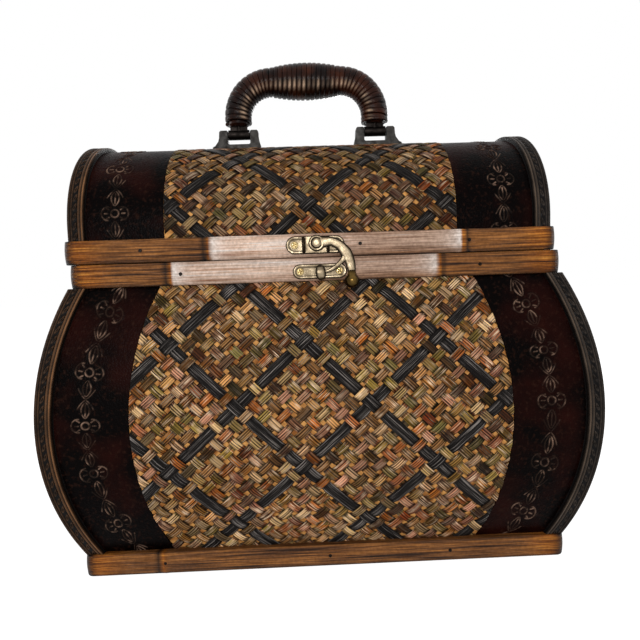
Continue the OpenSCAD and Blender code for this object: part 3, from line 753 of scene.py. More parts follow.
@dataclass(frozen=True)
class BoardWood:
    """Plain split boards inside the trunk, with grain along X."""

    light: Colour = (142, 104, 64)
    dark: Colour = (96, 64, 36)
    stain: Colour = (74, 48, 28)

    def build(self) -> Material:
        """Makes the material.

        Returns:
            The material.
        """
        material, wires, shader = finish("board_wood", Specular_IOR_Level=0.25)
        place = wires.place()
        grain = wires.group("Streaks", Vector=place, Along=14.0, Across=420.0, Hard=2.0)
        patch = wires.group("Mottle", Vector=place, Scale=18.0, Low=0.35, High=0.7)
        colour = wires.mix(grain, linear(self.dark), linear(self.light))
        colour = wires.mix(wires.spread(patch, 0.0, 1.0, 0.0, 0.35), colour, linear(self.stain))
        dress(wires, shader, colour, wires.spread(grain, 0.0, 1.0, 0.68, 0.5), wires.bump(grain, 0.2))
        return material


@dataclass(frozen=True)
class BoundCord:
    """Varnished dark brown binding with red-brown fibres, pale streaks of wear and painted glint, and
    painted shade between the turns.
    """

    dark: Colour = (6, 3, 3)
    brown: Colour = (30, 14, 10)
    rust: Colour = (116, 56, 26)
    rubbed: Colour = (246, 206, 172)
    gap: Colour = (5, 3, 3)

    def build(self) -> Material:
        """Makes the material.

        Returns:
            The material.
        """
        material, wires, shader = finish("bound_cord", Specular_IOR_Level=0.1)
        along = wires.along()
        fibre = wires.group("Streaks", Vector=along, Along=0.05, Across=1.2, Hard=3.0)
        patch = wires.group("Mottle", Vector=wires.place(), Scale=70.0, Low=0.45, High=0.75)
        colour = wires.mix(fibre, linear(self.dark), linear(self.brown))
        colour = wires.mix(wires.spread(patch, 0.0, 1.0, 0.0, 0.3), colour, linear(self.rust))
        # Pale streaks on the front of the turns: wear and painted glint.
        hand_wear_and_glint = wires.math("MULTIPLY", wires.value("worn"), wires.spread(fibre, 0.0, 1.0, 0.5, 1.0))
        colour = wires.mix(hand_wear_and_glint, colour, linear(self.rubbed))
        # Painted shade between the turns and under the cord.
        between = wires.spread(wires.value("edge"), 0.35, 1.0, 0.0, 0.9)
        colour = wires.mix(between, colour, linear(self.gap))
        dress(wires, shader, colour, wires.spread(fibre, 0.0, 1.0, 0.3, 0.18), wires.bump(fibre, 0.15))
        return material


@dataclass
class Wardrobe:
    """All the finishes, made once."""

    bamboo: Material
    strip: Material
    backing: Material
    leather: Material
    left_edging: Material
    right_edging: Material
    brass: Material
    bright_brass: Material
    dark_brass: Material
    gunmetal: Material
    iron: Material
    wood: Material
    cord: Material

    @classmethod
    def made(cls) -> "Wardrobe":
        """Builds the shared effects and every finish.

        Returns:
            The finishes.
        """
        for effect in EFFECTS:
            effect.build()
        grey = TooledStrip("tooled_strip_grey", (74, 64, 56), (98, 82, 68), (10, 8, 8))
        return cls(
            SplitBamboo().build(), WovenStrip().build(), MatBacking().build(), EmbossedLeather().build(),
            TooledStrip().build(), grey.build(),
            OldMetal("antique_brass", (144, 129, 106), (66, 53, 36)).build(),
            OldMetal("rubbed_brass", (214, 190, 136), (140, 110, 62), 0.22, 0.42).build(),
            OldMetal("dark_brass", (104, 82, 42), (44, 32, 16), 0.2, 0.34).build(),
            OldMetal("gunmetal", (74, 72, 70), (28, 27, 26), 0.42, 0.66, 0.3).build(),
            OldMetal("iron", (34, 30, 28), (14, 12, 11), 0.4, 0.6).build(),
            BoardWood().build(), BoundCord().build())

    def edging(self, side: Side) -> Material:
        """The tooled finish of one end."""
        return self.left_edging if side is Side.LEFT else self.right_edging


def make_piece(skin: Skin, name: str, body: str, material: Material,
               replaces: tuple[str, ...], sharp: float = 40.0) -> None:
    """Puts a surface into the scene as a piece of the trunk.

    Args:
        skin: The surface, in millimetres.
        name: The piece's name.
        body: The body that it rides on.
        material: Its finish.
        replaces: The solids that it stands for.
        sharp: Angle in degrees past which an edge stays sharp.
    """
    mesh = bpy.data.meshes.new(name)
    counts = np.array([4] * len(skin.quads) + [len(cap) for cap in skin.caps])
    corners = np.concatenate([skin.quads.ravel(), *skin.caps]).astype(np.int32)
    cap_uv = [skin.points[cap][:, [0, 2]] for cap in skin.caps]
    uv = np.concatenate([skin.quad_uv.reshape(-1, 2), *cap_uv])
    mesh.vertices.add(len(skin.points))
    mesh.vertices.foreach_set("co", (skin.points * MM).astype(np.float32).ravel())
    mesh.loops.add(len(corners))
    mesh.loops.foreach_set("vertex_index", corners)
    mesh.polygons.add(len(counts))
    mesh.polygons.foreach_set("loop_start", np.concatenate([[0], np.cumsum(counts)[:-1]]).astype(np.int32))
    mesh.uv_layers.new(name="surface").data.foreach_set("uv", uv.astype(np.float32).ravel())
    for key, value in skin.values.items():
        mesh.attributes.new(key, "FLOAT", "POINT").data.foreach_set("value", value.astype(np.float32))
    mesh.update(calc_edges=True)
    mesh.shade_smooth()
    mesh.set_sharp_from_angle(angle=math.radians(sharp))
    mesh.materials.append(material)
    piece = bpy.data.objects.new(name, mesh)
    bpy.context.scene.collection.objects.link(piece)
    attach(piece, body)
    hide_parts(*replaces)
    LOG.info("%s: %d points on %s", name, len(skin.points), body)


# The trunk's own shapes


@dataclass(frozen=True)
class Bow:
    """The bow of the case's four sides, an arc between the bands."""

    half_w: float = 160.0
    half_d: float = 70.0
    bulge: float = 18.7
    sag: float = 18.2
    low: float = 14.5
    high: float = 191.5
    board_in: float = 4.4
    leather_in: float = 3.2
    leather_edge: float = 9.0
    mat_half: float = 121.5
    mat_r: float = 215.0

    @property
    def middle(self) -> float:
        """Height of the widest place."""
        return (self.low + self.high) / 2

    @property
    def radius(self) -> float:
        """Radius of the arc, from its chord and its sag."""
        half = (self.high - self.low) / 2
        return (half * half + self.sag * self.sag) / (2 * self.sag)

    def out(self, half: float, z: Array, inset: Array | float) -> Array:
        """Distance from the middle plane of a surface inset from the strips, at a height.

        Args:
            half: Half width or half depth of the rim.
            z: Heights.
            inset: How far inside the strips' surface.
        Returns:
            Distances.
        """
        arc = np.sqrt((self.radius - inset) ** 2 - (z - self.middle) ** 2)
        return half + self.bulge - self.radius + arc

    def mat_edge(self, z: Array) -> Array:
        """Half width of the case mats at a height: an arc of its own."""
        return self.mat_half - self.mat_r + np.sqrt(self.mat_r**2 - (z - self.middle) ** 2)


@dataclass(frozen=True)
class Vault:
    """The lid's vault: upright sides under a half circle, along X."""

    shift: float = -2.8
    low: float = 221.8
    spring: float = 228.8
    board_r: float = 62.6
    leather_r: float = 63.8
    trim_r: float = 67.0
    mat_half: float = 96.0
    end: float = 153.8
    end_trim: float = 157.0

    def length(self, radius: float) -> float:
        """Length of the arch at a radius, from foot to foot."""
        return 2 * (self.spring - self.low) + math.pi * radius

    def arch(self, s: Array, radius: float, height: Array | float) -> tuple[Array, Array]:
        """Place on the arch: up the front, over the half circle and down the rear.

        Args:
            s: Length along the arch of the given radius, from the front foot.
            radius: Radius at which the length is counted.
            height: How far outside that radius.
        Returns:
            Y and Z.
        """
        side = self.spring - self.low
        angle = np.clip((s - side) / radius, 0, math.pi)
        drop = np.minimum(s, side) - side - np.maximum(s - side - math.pi * radius, 0)
        return -(radius + height) * np.cos(angle), self.spring + (radius + height) * np.sin(angle) + drop


BOW = Bow()
VAULT = Vault()

# Points in the case and in the lid, from which coverings face away
IN_CASE = np.array([0, 0, BOW.middle])
IN_LID = np.array([0, 0, VAULT.spring - 20])


@dataclass
class Mat:
    """A mat of strips that cross in two directions, seven to a cell, with dark strips every seventh.

    A point of a rising strip is the origin plus a share of the rising step, plus its number in sevenths
    of the falling step. Its height goes from one side of the mat's middle to the other between crossings.
    Strips are tried up to the number most, each has a row of draws for its crossings, and uv_step keeps
    strips apart in the UV map. The backing lies at the height of sheet.
    """

    origin: tuple[float, float]
    rise: tuple[float, float]
    fall: tuple[float, float]
    seed: int
    count: int = 7
    light_width: float = 0.66
    dark_width: float = 0.9
    swing: float = 0.58
    # Scales every float's lit share: below 1 the whole mat is painted in shade, as on the lid.
    light: float = 1.0
    step: float = 1.5
    section: tuple[tuple[float, float], ...] = (
        (-1.0, -0.24), (-0.86, 0.1), (-0.35, 0.27), (0.35, 0.27), (0.86, 0.1), (1.0, -0.24))
    uv_step: tuple[float, float] = (97.0, 31.0)
    sheet: float = -0.85
    most: int = 60
    draws: int = 400

    def place(self, u: Array, s: Array, height: Array) -> Array:
        """Turns width, length over the bow and height above the mat's middle into points."""
        raise NotImplementedError

    def margin(self, u: Array, s: Array) -> Array:
        """How far inside the mat's border a place is; negative outside."""
        raise NotImplementedError

    def backing(self) -> Skin:
        """The sheet under the strips."""
        raise NotImplementedError

    @staticmethod
    def rising_on_top(rising: Array, falling: Array) -> Array:
        """Where the rising strip lies on top: plain weave, with the dark strips floating over three.

        Args:
            rising: Numbers of rising strips.
            falling: Numbers of falling strips.
        Returns:
            True where the rising one is on top.
        """
        i, j = np.broadcast_arrays(rising % 14, falling % 14)
        top = (i + j) % 2 == 0
        top |= (i == 0) & np.isin(j, (3, 11)) | (i == 7) & np.isin(j, (4, 10))
        return top & ~((j == 0) & np.isin(i, (4, 10)) | (j == 7) & np.isin(i, (3, 11)))

    def across(self, way: Way, along: Array, number: Array) -> tuple[Array, Array]:
        """Width and length of a place given along a strip and by a strip number, whole or between.

        Args:
            way: Direction of the strip.
            along: Place along it, in cells.
            number: Its number, or a number between two strips.
        Returns:
            Width and length.
        """
        first, second = (self.rise, self.fall) if way is Way.RISING else (self.fall, self.rise)
        u = self.origin[0] + along * first[0] + number / self.count * second[0]
        return u, self.origin[1] + along * first[1] + number / self.count * second[1]

    def reach(self, way: Way, numbers: Array) -> tuple[Array, Array, Array]:
        """Where lines of the given numbers enter and leave the mat, found by halving.

        Args:
            way: Direction of the lines.
            numbers: Their numbers.
        Returns:
            Start, end and whether the line crosses the mat at all.
        """
        trial = np.linspace(-8, 8, 1601)
        inside = self.margin(*self.across(way, trial, numbers[..., None])) > 0
        first = trial[np.argmax(inside, -1)]
        last = trial[len(trial) - 1 - np.argmax(inside[..., ::-1], -1)]
        ends = []
        for good, outer in ((first, first - 0.01), (last, last + 0.01)):
            for _ in range(20):
                half = (good + outer) / 2
                held = self.margin(*self.across(way, half, numbers)) > 0
                good, outer = np.where(held, half, good), np.where(held, outer, half)
            ends.append(good)
        return ends[0], ends[1], inside.any(-1)

    def weave(self, way: Way, number: int, place: Array) -> Array:
        """How high a strip runs: level over each crossing, a smooth step between two.

        Args:
            way: Direction of the strip.
            number: Its number.
            place: Places along it, counted in crossings.
        Returns:
            From -1, under the other strips, to 1, over them.
        """
        before = np.floor(place).astype(int)
        own = np.full_like(before, number)
        if way is Way.RISING:
            here, there = self.rising_on_top(own, before), self.rising_on_top(own, before + 1)
        else:
            here, there = ~self.rising_on_top(before, own), ~self.rising_on_top(before + 1, own)
        turn = smooth(0.25, 0.75, place - before)
        return (2.0 * here - 1) * (1 - turn) + (2.0 * there - 1) * turn

    def strip(self, way: Way, number: int, rng: np.random.Generator) -> Skin | None:
        """One strip: a closed ribbon that follows the weave and is cut at the mat's border.

        Args:
            way: Direction of the strip.
            number: Its number; every seventh is dark.
            rng: Draws its tone and width, and how they change from crossing to crossing.
        Returns:
            The ribbon, or None where it misses the mat.
        """
        shape = np.array(self.section)
        pitch = math.hypot(*(self.rise if way is Way.RISING else self.fall))
        dark = number % self.count == 0
        tone = rng.random()
        width = (self.dark_width if dark else self.light_width) * rng.uniform(0.94, 1.04)
        lines = number + shape[:, 0] * width / 2
        start, end, crosses = self.reach(way, lines)
        if not crosses.all() or (end - start).min() * pitch < 2:
            return None
        rows = int((end - start).max() * pitch / self.step) + 2
        along = start + np.linspace(0, 1, rows)[:, None] * (end - start)
        u, s = self.across(way, along, np.broadcast_to(lines, along.shape))
        up = self.weave(way, number, along * self.count)
        side = shape[:, 0] * width * pitch / self.count / 2 + number * self.uv_step[1]
        uv = np.stack([along * pitch + number * self.uv_step[0], np.broadcast_to(side, along.shape)], -1)
        uv = np.concatenate([uv, uv[:, :1]], 1)
        crossing = np.round(along * self.count).astype(int) + self.draws // 2
        # low and edge are painted shade where the strip dips under and along its sides; lit, drawn per
        # crossing, mixes random tone with painted light.
        values = {"tone": (tone + 0.3 * rng.uniform(-1, 1, self.draws)[crossing]) % 1.0,
                  "dark": np.full(along.shape, float(dark)), "lit": np.full(along.shape, self.light),
                  "low": smooth(0.55, -0.7, up), "edge": (np.abs(shape[:, 0]) > 0.95) * 1.0}
        if not dark:
            shares = rng.uniform(0.45, 1.0) + rng.uniform(-0.45, 0.45, self.draws)
            values["lit"] *= np.clip(shares, 0.12, 1)[crossing]
        points = self.place(u, s, self.swing * up + shape[:, 1])
        skin = grid(points, uv, wrap_cols=True, values=values)
        skin.caps = end_caps(rows, len(shape))
        return skin.outward()

    def strips(self, way: Way) -> Skin:
        """All strips of one direction.

        Args:
            way: The direction.
        Returns:
            The ribbons as one surface.
        """
        rng = np.random.default_rng(self.seed + (0 if way is Way.RISING else 100))
        ribbons = [self.strip(way, number, rng) for number in range(-self.most, self.most + 1)]
        return joined([ribbon for ribbon in ribbons if ribbon is not None])

    def lay(self, wardrobe: Wardrobe, name: str, body: str) -> None:
        """Makes the strips of both directions and the backing.

        Args:
            wardrobe: The finishes.
            name: First word of the names.
            body: The body that the mat rides on.
        """
        node = (f"{name}_weave",)
        for way in Way:
            strips = f"{name}_mat_{way.value}_strips"
            make_piece(self.strips(way), strips, body, wardrobe.strip, node, 50)
        make_piece(self.backing(), f"{name}_mat_backing", body, wardrobe.backing, node)


@dataclass
class CaseMat(Mat):
    """The front mat of the case; the rear one is the same turned half round."""

    face: Face = Face.FRONT
    lift: float = 1.0

    @property
    def radius(self) -> float:
        """Radius of the mat's middle."""
        return BOW.radius - BOW.board_in + self.lift

    @property
    def top(self) -> float:
        """Length over the bow from the widest height to a band."""
        return self.radius * math.asin((BOW.high - BOW.middle) / (self.radius + 1))

    def place(self, u: Array, s: Array, height: Array) -> Array:
        """Points on the bow: the length is an arc from the widest height.

        Args:
            u: Width from the middle.
            s: Length of the arc.
            height: Height above the mat's middle.
        Returns:
            The points.
        """
        angle = s / self.radius
        out = BOW.half_d + BOW.bulge - BOW.radius + (self.radius + height) * np.cos(angle)
        z = BOW.middle + (self.radius + height) * np.sin(angle)
        points = np.stack([u, -out, z], -1)
        return points if self.face is Face.FRONT else turned_half(points)

    def margin(self, u: Array, s: Array) -> Array:
        """Inside the bowed side edges and between the bands.

        Args:
            u: Width from the middle.
            s: Length of the arc.
        Returns:
            Distance to the border.
        """
        sine = np.clip(np.sin(np.clip(s / self.radius, -1, 1)), -0.45, 0.45)
        z = BOW.middle + self.radius * sine
        return np.minimum(BOW.mat_edge(z) - 0.4 - np.abs(u), self.top - np.abs(s))

    def backing(self) -> Skin:
        """The sheet under the strips: rows over the bow, columns from one bowed edge to the other.

        Returns:
            The sheet.
        """
        s, k = np.meshgrid(np.linspace(-self.top, self.top, 60), np.linspace(-1, 1, 40), indexing="ij")
        u = BOW.mat_edge(BOW.middle + self.radius * np.sin(s / self.radius)) * k
        skin = grid(self.place(u, s, np.full_like(u, self.sheet)), np.stack([u, s], -1))
        return skin.facing(IN_CASE)

    def build(self, wardrobe: Wardrobe) -> None:
        """Makes the strips and the backing."""
        self.lay(wardrobe, self.face.name.lower(), "case")


@dataclass
class LidMat(Mat):
    """The mat over the lid's vault."""

    lift: float = 1.0

    @property
    def radius(self) -> float:
        """Radius of the mat's middle."""
        return VAULT.board_r + self.lift

    def place(self, u: Array, s: Array, height: Array) -> Array:
        """Points on the vault: the length runs over the arch from the front foot."""
        y, z = VAULT.arch(s, self.radius, height)
        return np.stack([u, y, z], -1)

    def margin(self, u: Array, s: Array) -> Array:
        """Inside the straight side edges and above the lid band."""
        ends = np.minimum(s, VAULT.length(self.radius) - s)
        return np.minimum(VAULT.mat_half - 0.4 - np.abs(u - VAULT.shift), ends)

    def backing(self) -> Skin:
        """The sheet under the strips: rows over the arch, columns along X.

        Returns:
            The sheet.
        """
        s, u = np.meshgrid(np.linspace(0, VAULT.length(self.radius), 90),
                           np.linspace(-1, 1, 24) * VAULT.mat_half + VAULT.shift, indexing="ij")
        skin = grid(self.place(u, s, np.full_like(u, self.sheet)), np.stack([u, s], -1))
        return skin.facing(IN_LID)

    def build(self, wardrobe: Wardrobe) -> None:
        """Makes the strips and the backing."""
        self.lay(wardrobe, "lid", "lid")


@dataclass(frozen=True)
class FlowerChain:
    """A tooled chain: ringed flowers with a rayed lobe to each side, two pointed leaves between them."""

    period: float = 35.0
    height: float = 0.45
    press: float = 2.6

    def drawn(self, across: Array, along: Array, wide: float) -> Array:
        """How much of the tooled lines a place has.

        The place along is folded to the nearest flower. Lines are the ring, three rays and a round lobe
        on each side, and for the leaves above and below a lens, its middle and a pointed outline.

        Args:
            across: Distance to the side of the chain's middle.
            along: Distance along the chain from a flower.
            wide: How much wider than the tooled lines to draw.
        Returns:
            From 0, plain leather, to 1, the top of a line.
        """
        near = along - self.period * np.round(along / self.period)
        side = np.abs(across)
        out = np.hypot(side, near)
        turn = np.arctan2(near, side)
        lines = [line(out - 2.5, 0.4 * wide)]
        reach = smooth(3.9, 4.4, out) * smooth(7.2, 6.6, out)
        for degrees in (-34, 0, 34):
            lines.append(line(out * np.sin(turn - np.radians(degrees)), 0.36 * wide) * reach)
        lines.append(0.8 * line(np.hypot(side - 4.3, near) - 4.5, 0.36 * wide) * smooth(3.4, 4.2, side))
        length = np.abs(near)
        lens = 2.6 * (1 - ((length - 10.3) / 5.5) ** 2)
        lines.append(line(side - lens, 0.36 * wide) * smooth(4.8, 5.4, length) * smooth(15.8, 15.2, length))
        lines.append(line(side, 0.36 * wide) * smooth(6.0, 6.8, length) * smooth(14.4, 13.6, length))
        point = 5.2 * np.clip((17.2 - length) / 6.3, 0, 1) ** 0.7
        edge = line(side - point, 0.36 * wide) * smooth(10.2, 11.0, length) * smooth(17.3, 16.9, length)
        return np.maximum.reduce([*lines, 0.6 * edge])

    def pressed(self, x: Array, across: Array, along: Array,
                drop: float) -> tuple[Array, Array, dict[str, Array]]:
        """Tools a panel: lines rise by the chain's height, and the troughs beside them sink by half of it.

        Args:
            x: Columns of the panel, rows by columns, the first at the mat.
            across: Distance of each place to the side of the chain.
            along: Its distance along the chain.
            drop: How far one more column at the mat drops to the board.
        Returns:
            The columns, their heights above the leather and the named values, with that column first.
        """
        raised = self.drawn(across, along, 1.0)
        values = {"relief": raised, "trough": self.drawn(across, along, self.press) - raised}
        values = {key: np.pad(value, ((0, 0), (1, 0))) for key, value in values.items()}
        height = self.height * (values["relief"] - 0.5 * values["trough"])
        height[:, 0] -= drop
        return np.concatenate([x[:, :1], x], 1), height, values


def chain_columns(inner: Array, middle: Array, outer: Array) -> Array:
    """Columns of a leather panel: close together over the chain, wider towards both edges.

    Args:
        inner: Inner edge of each row.
        middle: Chain of each row.
        outer: Outer edge of each row.
    Returns:
        Rows by columns of places across.
    """
    reach = 10.0
    left = inner[:, None] + np.linspace(0, 1, 9)[:-1] * (middle - reach - inner)[:, None]
    fine = middle[:, None] + np.arange(-reach, reach, 0.34)
    right = middle[:, None] + reach + np.linspace(0, 1, 9) * (outer - reach - middle)[:, None]
    return np.concatenate([left, fine, right], 1)


@dataclass
class CaseLeather:
    """The leather of the case: tooled panels beside both mats and plain ends.

    Each chain bows outwards about a crest, and its flowers stand at their own heights.
    """

    chain: FlowerChain
    rows: int = 480
    crest: tuple[tuple[float, float, float], ...] = ((148.2, 104.0, 0.00285), (145.7, 106.0, 0.00262))
    flowers: tuple[tuple[float, ...], ...] = (
        (38.0, 75.0, 106.0, 139.0, 176.2), (33.6, 69.4, 110.8, 142.7, 171.9))

    def panel(self, face: Face, side: Side) -> Skin:
        """A panel between a mat and a corner strip.

        A point lies on the bow at the leather's radius plus the relief; its row is an angle of the bow.

        Args:
            face: Front or rear.
            side: Left or right of the mat.
        Returns:
            The panel.
        """
        base = BOW.radius - BOW.leather_in
        top = math.asin((BOW.high - BOW.middle) / base)
        angle = np.linspace(-top, top, self.rows)
        z = BOW.middle + base * np.sin(angle)
        which = 0 if side is Side.LEFT else 1
        far, height, bend = self.crest[which]
        middle = far - bend * (z - height) ** 2
        x = chain_columns(BOW.mat_edge(z), middle, BOW.out(BOW.half_w, z, BOW.leather_edge))
        slope = np.gradient(middle, z)[:, None]
        stops = np.array(self.flowers[which])
        stops = np.concatenate([[stops[0] - self.chain.period], stops, [stops[-1] + self.chain.period]])
        along = np.interp(z, stops, np.arange(len(stops)) * self.chain.period)[:, None]
        aside = x - middle[:, None]
        x, relief, values = self.chain.pressed(
            x, aside * np.cos(np.arctan(slope)), along + aside * slope, BOW.board_in - BOW.leather_in)
        radius = base + relief
        out = BOW.half_d + BOW.bulge - BOW.radius + radius * np.cos(angle)[:, None]
        height = BOW.middle + radius * np.sin(angle)[:, None]
        points = np.stack([side.value * x, face.value * out, height], -1)
        uv = np.stack([x, np.broadcast_to(z[:, None], x.shape)], -1)
        return grid(points, uv, values=values).facing(IN_CASE)

    def end(self, side: Side) -> Skin:
        """A plain end: rows are heights, columns go from one corner strip to the other.

        Args:
            side: Left or right end.
        Returns:
            The end's leather.
        """
        z, k = np.meshgrid(np.linspace(BOW.low, BOW.high, 70), np.linspace(-1, 1, 40), indexing="ij")
        y = k * BOW.out(BOW.half_d, z, BOW.leather_edge)
        points = np.stack([side.value * BOW.out(BOW.half_w, z, BOW.leather_in), y, z], -1)
        return grid(points, np.stack([y, z], -1)).facing(IN_CASE)

    def build(self, wardrobe: Wardrobe) -> None:
        """Makes the four tooled panels and the two ends.

        Args:
            wardrobe: The finishes.
        """
        for side in Side:
            name = side.name.lower()
            for face in Face:
                node = f"{face.name.lower()}_{name}_leather"
                panel = self.panel(face, side)
                make_piece(panel, f"{node}_tooled", "case", wardrobe.leather, (node,), 70)
            node = f"{name}_end_leather"
            make_piece(self.end(side), f"{node}_skin", "case", wardrobe.leather, (node,))


@dataclass
class LidLeather:
    """The leather of the lid: a tooled panel at each end of the vault and the two D-shaped ends."""

    chain: FlowerChain
    rows: int = 560
    chain_x: float = 127.2
    flower_s: tuple[float, float] = (17.7, 34.0)
    outer_x: float = 151.0
    end_r: float = 60.0

    def panel(self, side: Side) -> Skin:
        """A panel over the vault: rows run over the arch, columns along X, raised by the relief.

        Args:
            side: Left or right of the mat.
        Returns:
            The panel.
        """
        s = np.linspace(0, VAULT.length(VAULT.leather_r), self.rows)
        whole = np.full_like(s, 1.0)
        x = chain_columns(VAULT.mat_half * whole, self.chain_x * whole, self.outer_x * whole)
        start = self.flower_s[0 if side is Side.LEFT else 1]
        x, height, values = self.chain.pressed(
            x, x - self.chain_x, (s - start)[:, None] + 0 * x, VAULT.leather_r - VAULT.board_r)
        y, z = VAULT.arch(s[:, None], VAULT.leather_r, height)
        points = np.stack([VAULT.shift + side.value * x, y, z], -1)
        uv = np.stack([x, np.broadcast_to(s[:, None], x.shape)], -1)
        return grid(points, uv, values=values).facing(IN_LID)

    def end(self, side: Side) -> Skin:
        """A flat D-shaped end: rows are heights, columns go from edge to edge under the arch strip.

        Args:
            side: Left or right end.
        Returns:
            The end's leather.
        """
        z = np.concatenate([np.linspace(VAULT.low, VAULT.spring, 4)[:-1],
                            VAULT.spring + self.end_r * np.sin(np.linspace(0, 1.5, 40))])
        half = np.sqrt(self.end_r**2 - np.clip(z - VAULT.spring, 0, None) ** 2)
        y = half[:, None] * np.linspace(-1, 1, 40)
        x = np.full_like(y, VAULT.shift + side.value * VAULT.end)
        points = np.stack([x, y, z[:, None] + 0 * y], -1)
        return grid(points, points[..., 1:]).facing(IN_LID)

    def build(self, wardrobe: Wardrobe) -> None:
        """Makes both panels and both ends.

        Args:
            wardrobe: The finishes.
        """
        for side in Side:
            name = side.name.lower()
            node = f"lid_{name}_leather"
            make_piece(self.panel(side), f"{node}_tooled", "lid", wardrobe.leather, (node,), 70)
            node = f"lid_{name}_end_leather"
            make_piece(self.end(side), f"{node}_skin", "lid", wardrobe.leather, (node,))


@dataclass
class Edging:
    """The tooled strips along the trunk's edges, with ridges, slanting curls and a rounded edge."""

    width: float = 11.0
    depth: float = 3.2
    edge_r: float = 1.3
    curl: float = 6.4
    grooves: tuple[tuple[float, float], ...] = ((2.2, 0.4), (3.5, 0.35), (8.7, 0.4), (6.6, 0.3))

    def shape(self, inset: Array, along: Array) -> tuple[Array, Array, Array]:
        """Height below the strip's surface across one face.

        Two thin ridges near the edge, a sunk row of slanting curls, a flat, a groove and a tan ridge, then
        the drop to the leather.

        Args:
            inset: Distance from the edge.
            along: Distance along the edge.
        Returns:
            Depth below the surface, how raised the place is and how tan.
        """
        zone = smooth(3.5, 3.9, inset) * smooth(6.7, 6.3, inset)
        forth = (along / self.curl - np.floor(along / self.curl) - 0.5) * self.curl
        aside = inset - 5.1
        lean = math.radians(24)
        first = forth * math.cos(lean) + aside * math.sin(lean)
        second = aside * math.cos(lean) - forth * math.sin(lean)
        curl = zone * line(np.hypot(first / 2.5, second / 0.75) - 0.85, 0.3)
        groove = sum(line(inset - middle, wide) for middle, wide in self.grooves)
        drop = smooth(self.width - 0.7, self.width, inset) * (self.depth - 0.1)
        depth = 0.5 * groove + 0.6 * (zone - curl) + drop
        raised = np.clip(1 - depth / 0.55, 0, 1) * (0.6 + 0.4 * zone + 0.5 * line(inset - 2.9, 0.4))
        rim = line(inset - 9.5, 0.5) + 0.35 * line(inset - 7.6, 0.5) + 0 * along
        return depth, np.clip(raised, 0, 1), np.clip(rim, 0, 1)

    def profile(self) -> tuple[Array, Array]:
        """Insets from the edge and, for the rounded edge itself, the angle round it."""
        even = np.arange(self.width - 0.35, self.edge_r, -0.3)
        return np.concatenate([[self.width, self.width - 0.05], even]), np.linspace(0, np.pi / 2, 6)

    def lines(self, along: Array) -> tuple[Array, Array, dict[str, Array]]:
        """Insets of all profile points from the two faces that meet at the edge.

        Args:
            along: Distance along the edge, one per row.
        Returns:
            Inset from the end face, inset from the long face, and the named values, rows by columns.
        """
        inset, angle = self.profile()
        depth, raised, rim = self.shape(inset[None, :], along[:, None])
        corner = np.broadcast_to(self.edge_r * (1 - np.sin(angle)), (len(along), len(angle)))
        other = np.broadcast_to(self.edge_r * (1 - np.cos(angle)), corner.shape)
        flat = np.broadcast_to(inset, depth.shape)
        first = np.concatenate([flat, corner, depth[:, ::-1]], 1)
        second = np.concatenate([depth, other, flat[:, ::-1]], 1)
        bare = np.full_like(corner, 0.55)
        values = {"raised": np.concatenate([raised, bare, raised[:, ::-1]], 1),
                  "rim": np.concatenate([rim, 0 * bare, rim[:, ::-1]], 1)}
        return first, second, values

    def corner(self, face: Face, side: Side) -> Skin:
        """A strip along a bowed corner of the case: rows are heights, columns go round the edge.

        Args:
            face: Front or rear.
            side: Left or right.
        Returns:
            The strip.
        """
        z = np.linspace(BOW.low, BOW.high, 320)
        first, second, values = self.lines((z - BOW.middle) * 1.06)
        x = BOW.out(BOW.half_w, z[:, None], first)
        y = BOW.out(BOW.half_d, z[:, None], second)
        points = np.stack([side.value * x, face.value * y, z[:, None] + 0 * x], -1)
        uv = np.stack([first - second, z[:, None] + 0 * x], -1)
        return grid(points, uv, values=values).facing(IN_CASE)

    def arch(self, side: Side) -> Skin:
        """A strip along an arched end of the lid: rows run over the arch, columns go round the edge.

        Args:
            side: Left or right end.
        Returns:
            The strip.
        """
        s = np.linspace(0, VAULT.length(VAULT.trim_r), 400)
        first, second, values = self.lines(s)
        x = VAULT.shift + side.value * (VAULT.end_trim - first)
        y, z = VAULT.arch(s[:, None], VAULT.trim_r, -second)
        points = np.stack([x + 0 * y, y, z], -1)
        uv = np.stack([first - second, s[:, None] + 0 * x], -1)
        inner = np.array([VAULT.shift + side.value * 60, 0, VAULT.spring - 20])
        return grid(points, uv, values=values).facing(inner)

    def build(self, wardrobe: Wardrobe) -> None:
        """Makes the four corner strips and the two arch strips.

        Args:
            wardrobe: The finishes.
        """
        for side in Side:
            name = side.name.lower()
            material = wardrobe.edging(side)
            for face in Face:
                node = f"{face.name.lower()}_{name}_trim"
                corner = self.corner(face, side)
                make_piece(corner, f"{node}_tooled", "case", material, (node,), 60)
            node = f"lid_{name}_trim"
            make_piece(self.arch(side), f"{node}_tooled", "lid", material, (node,), 60)


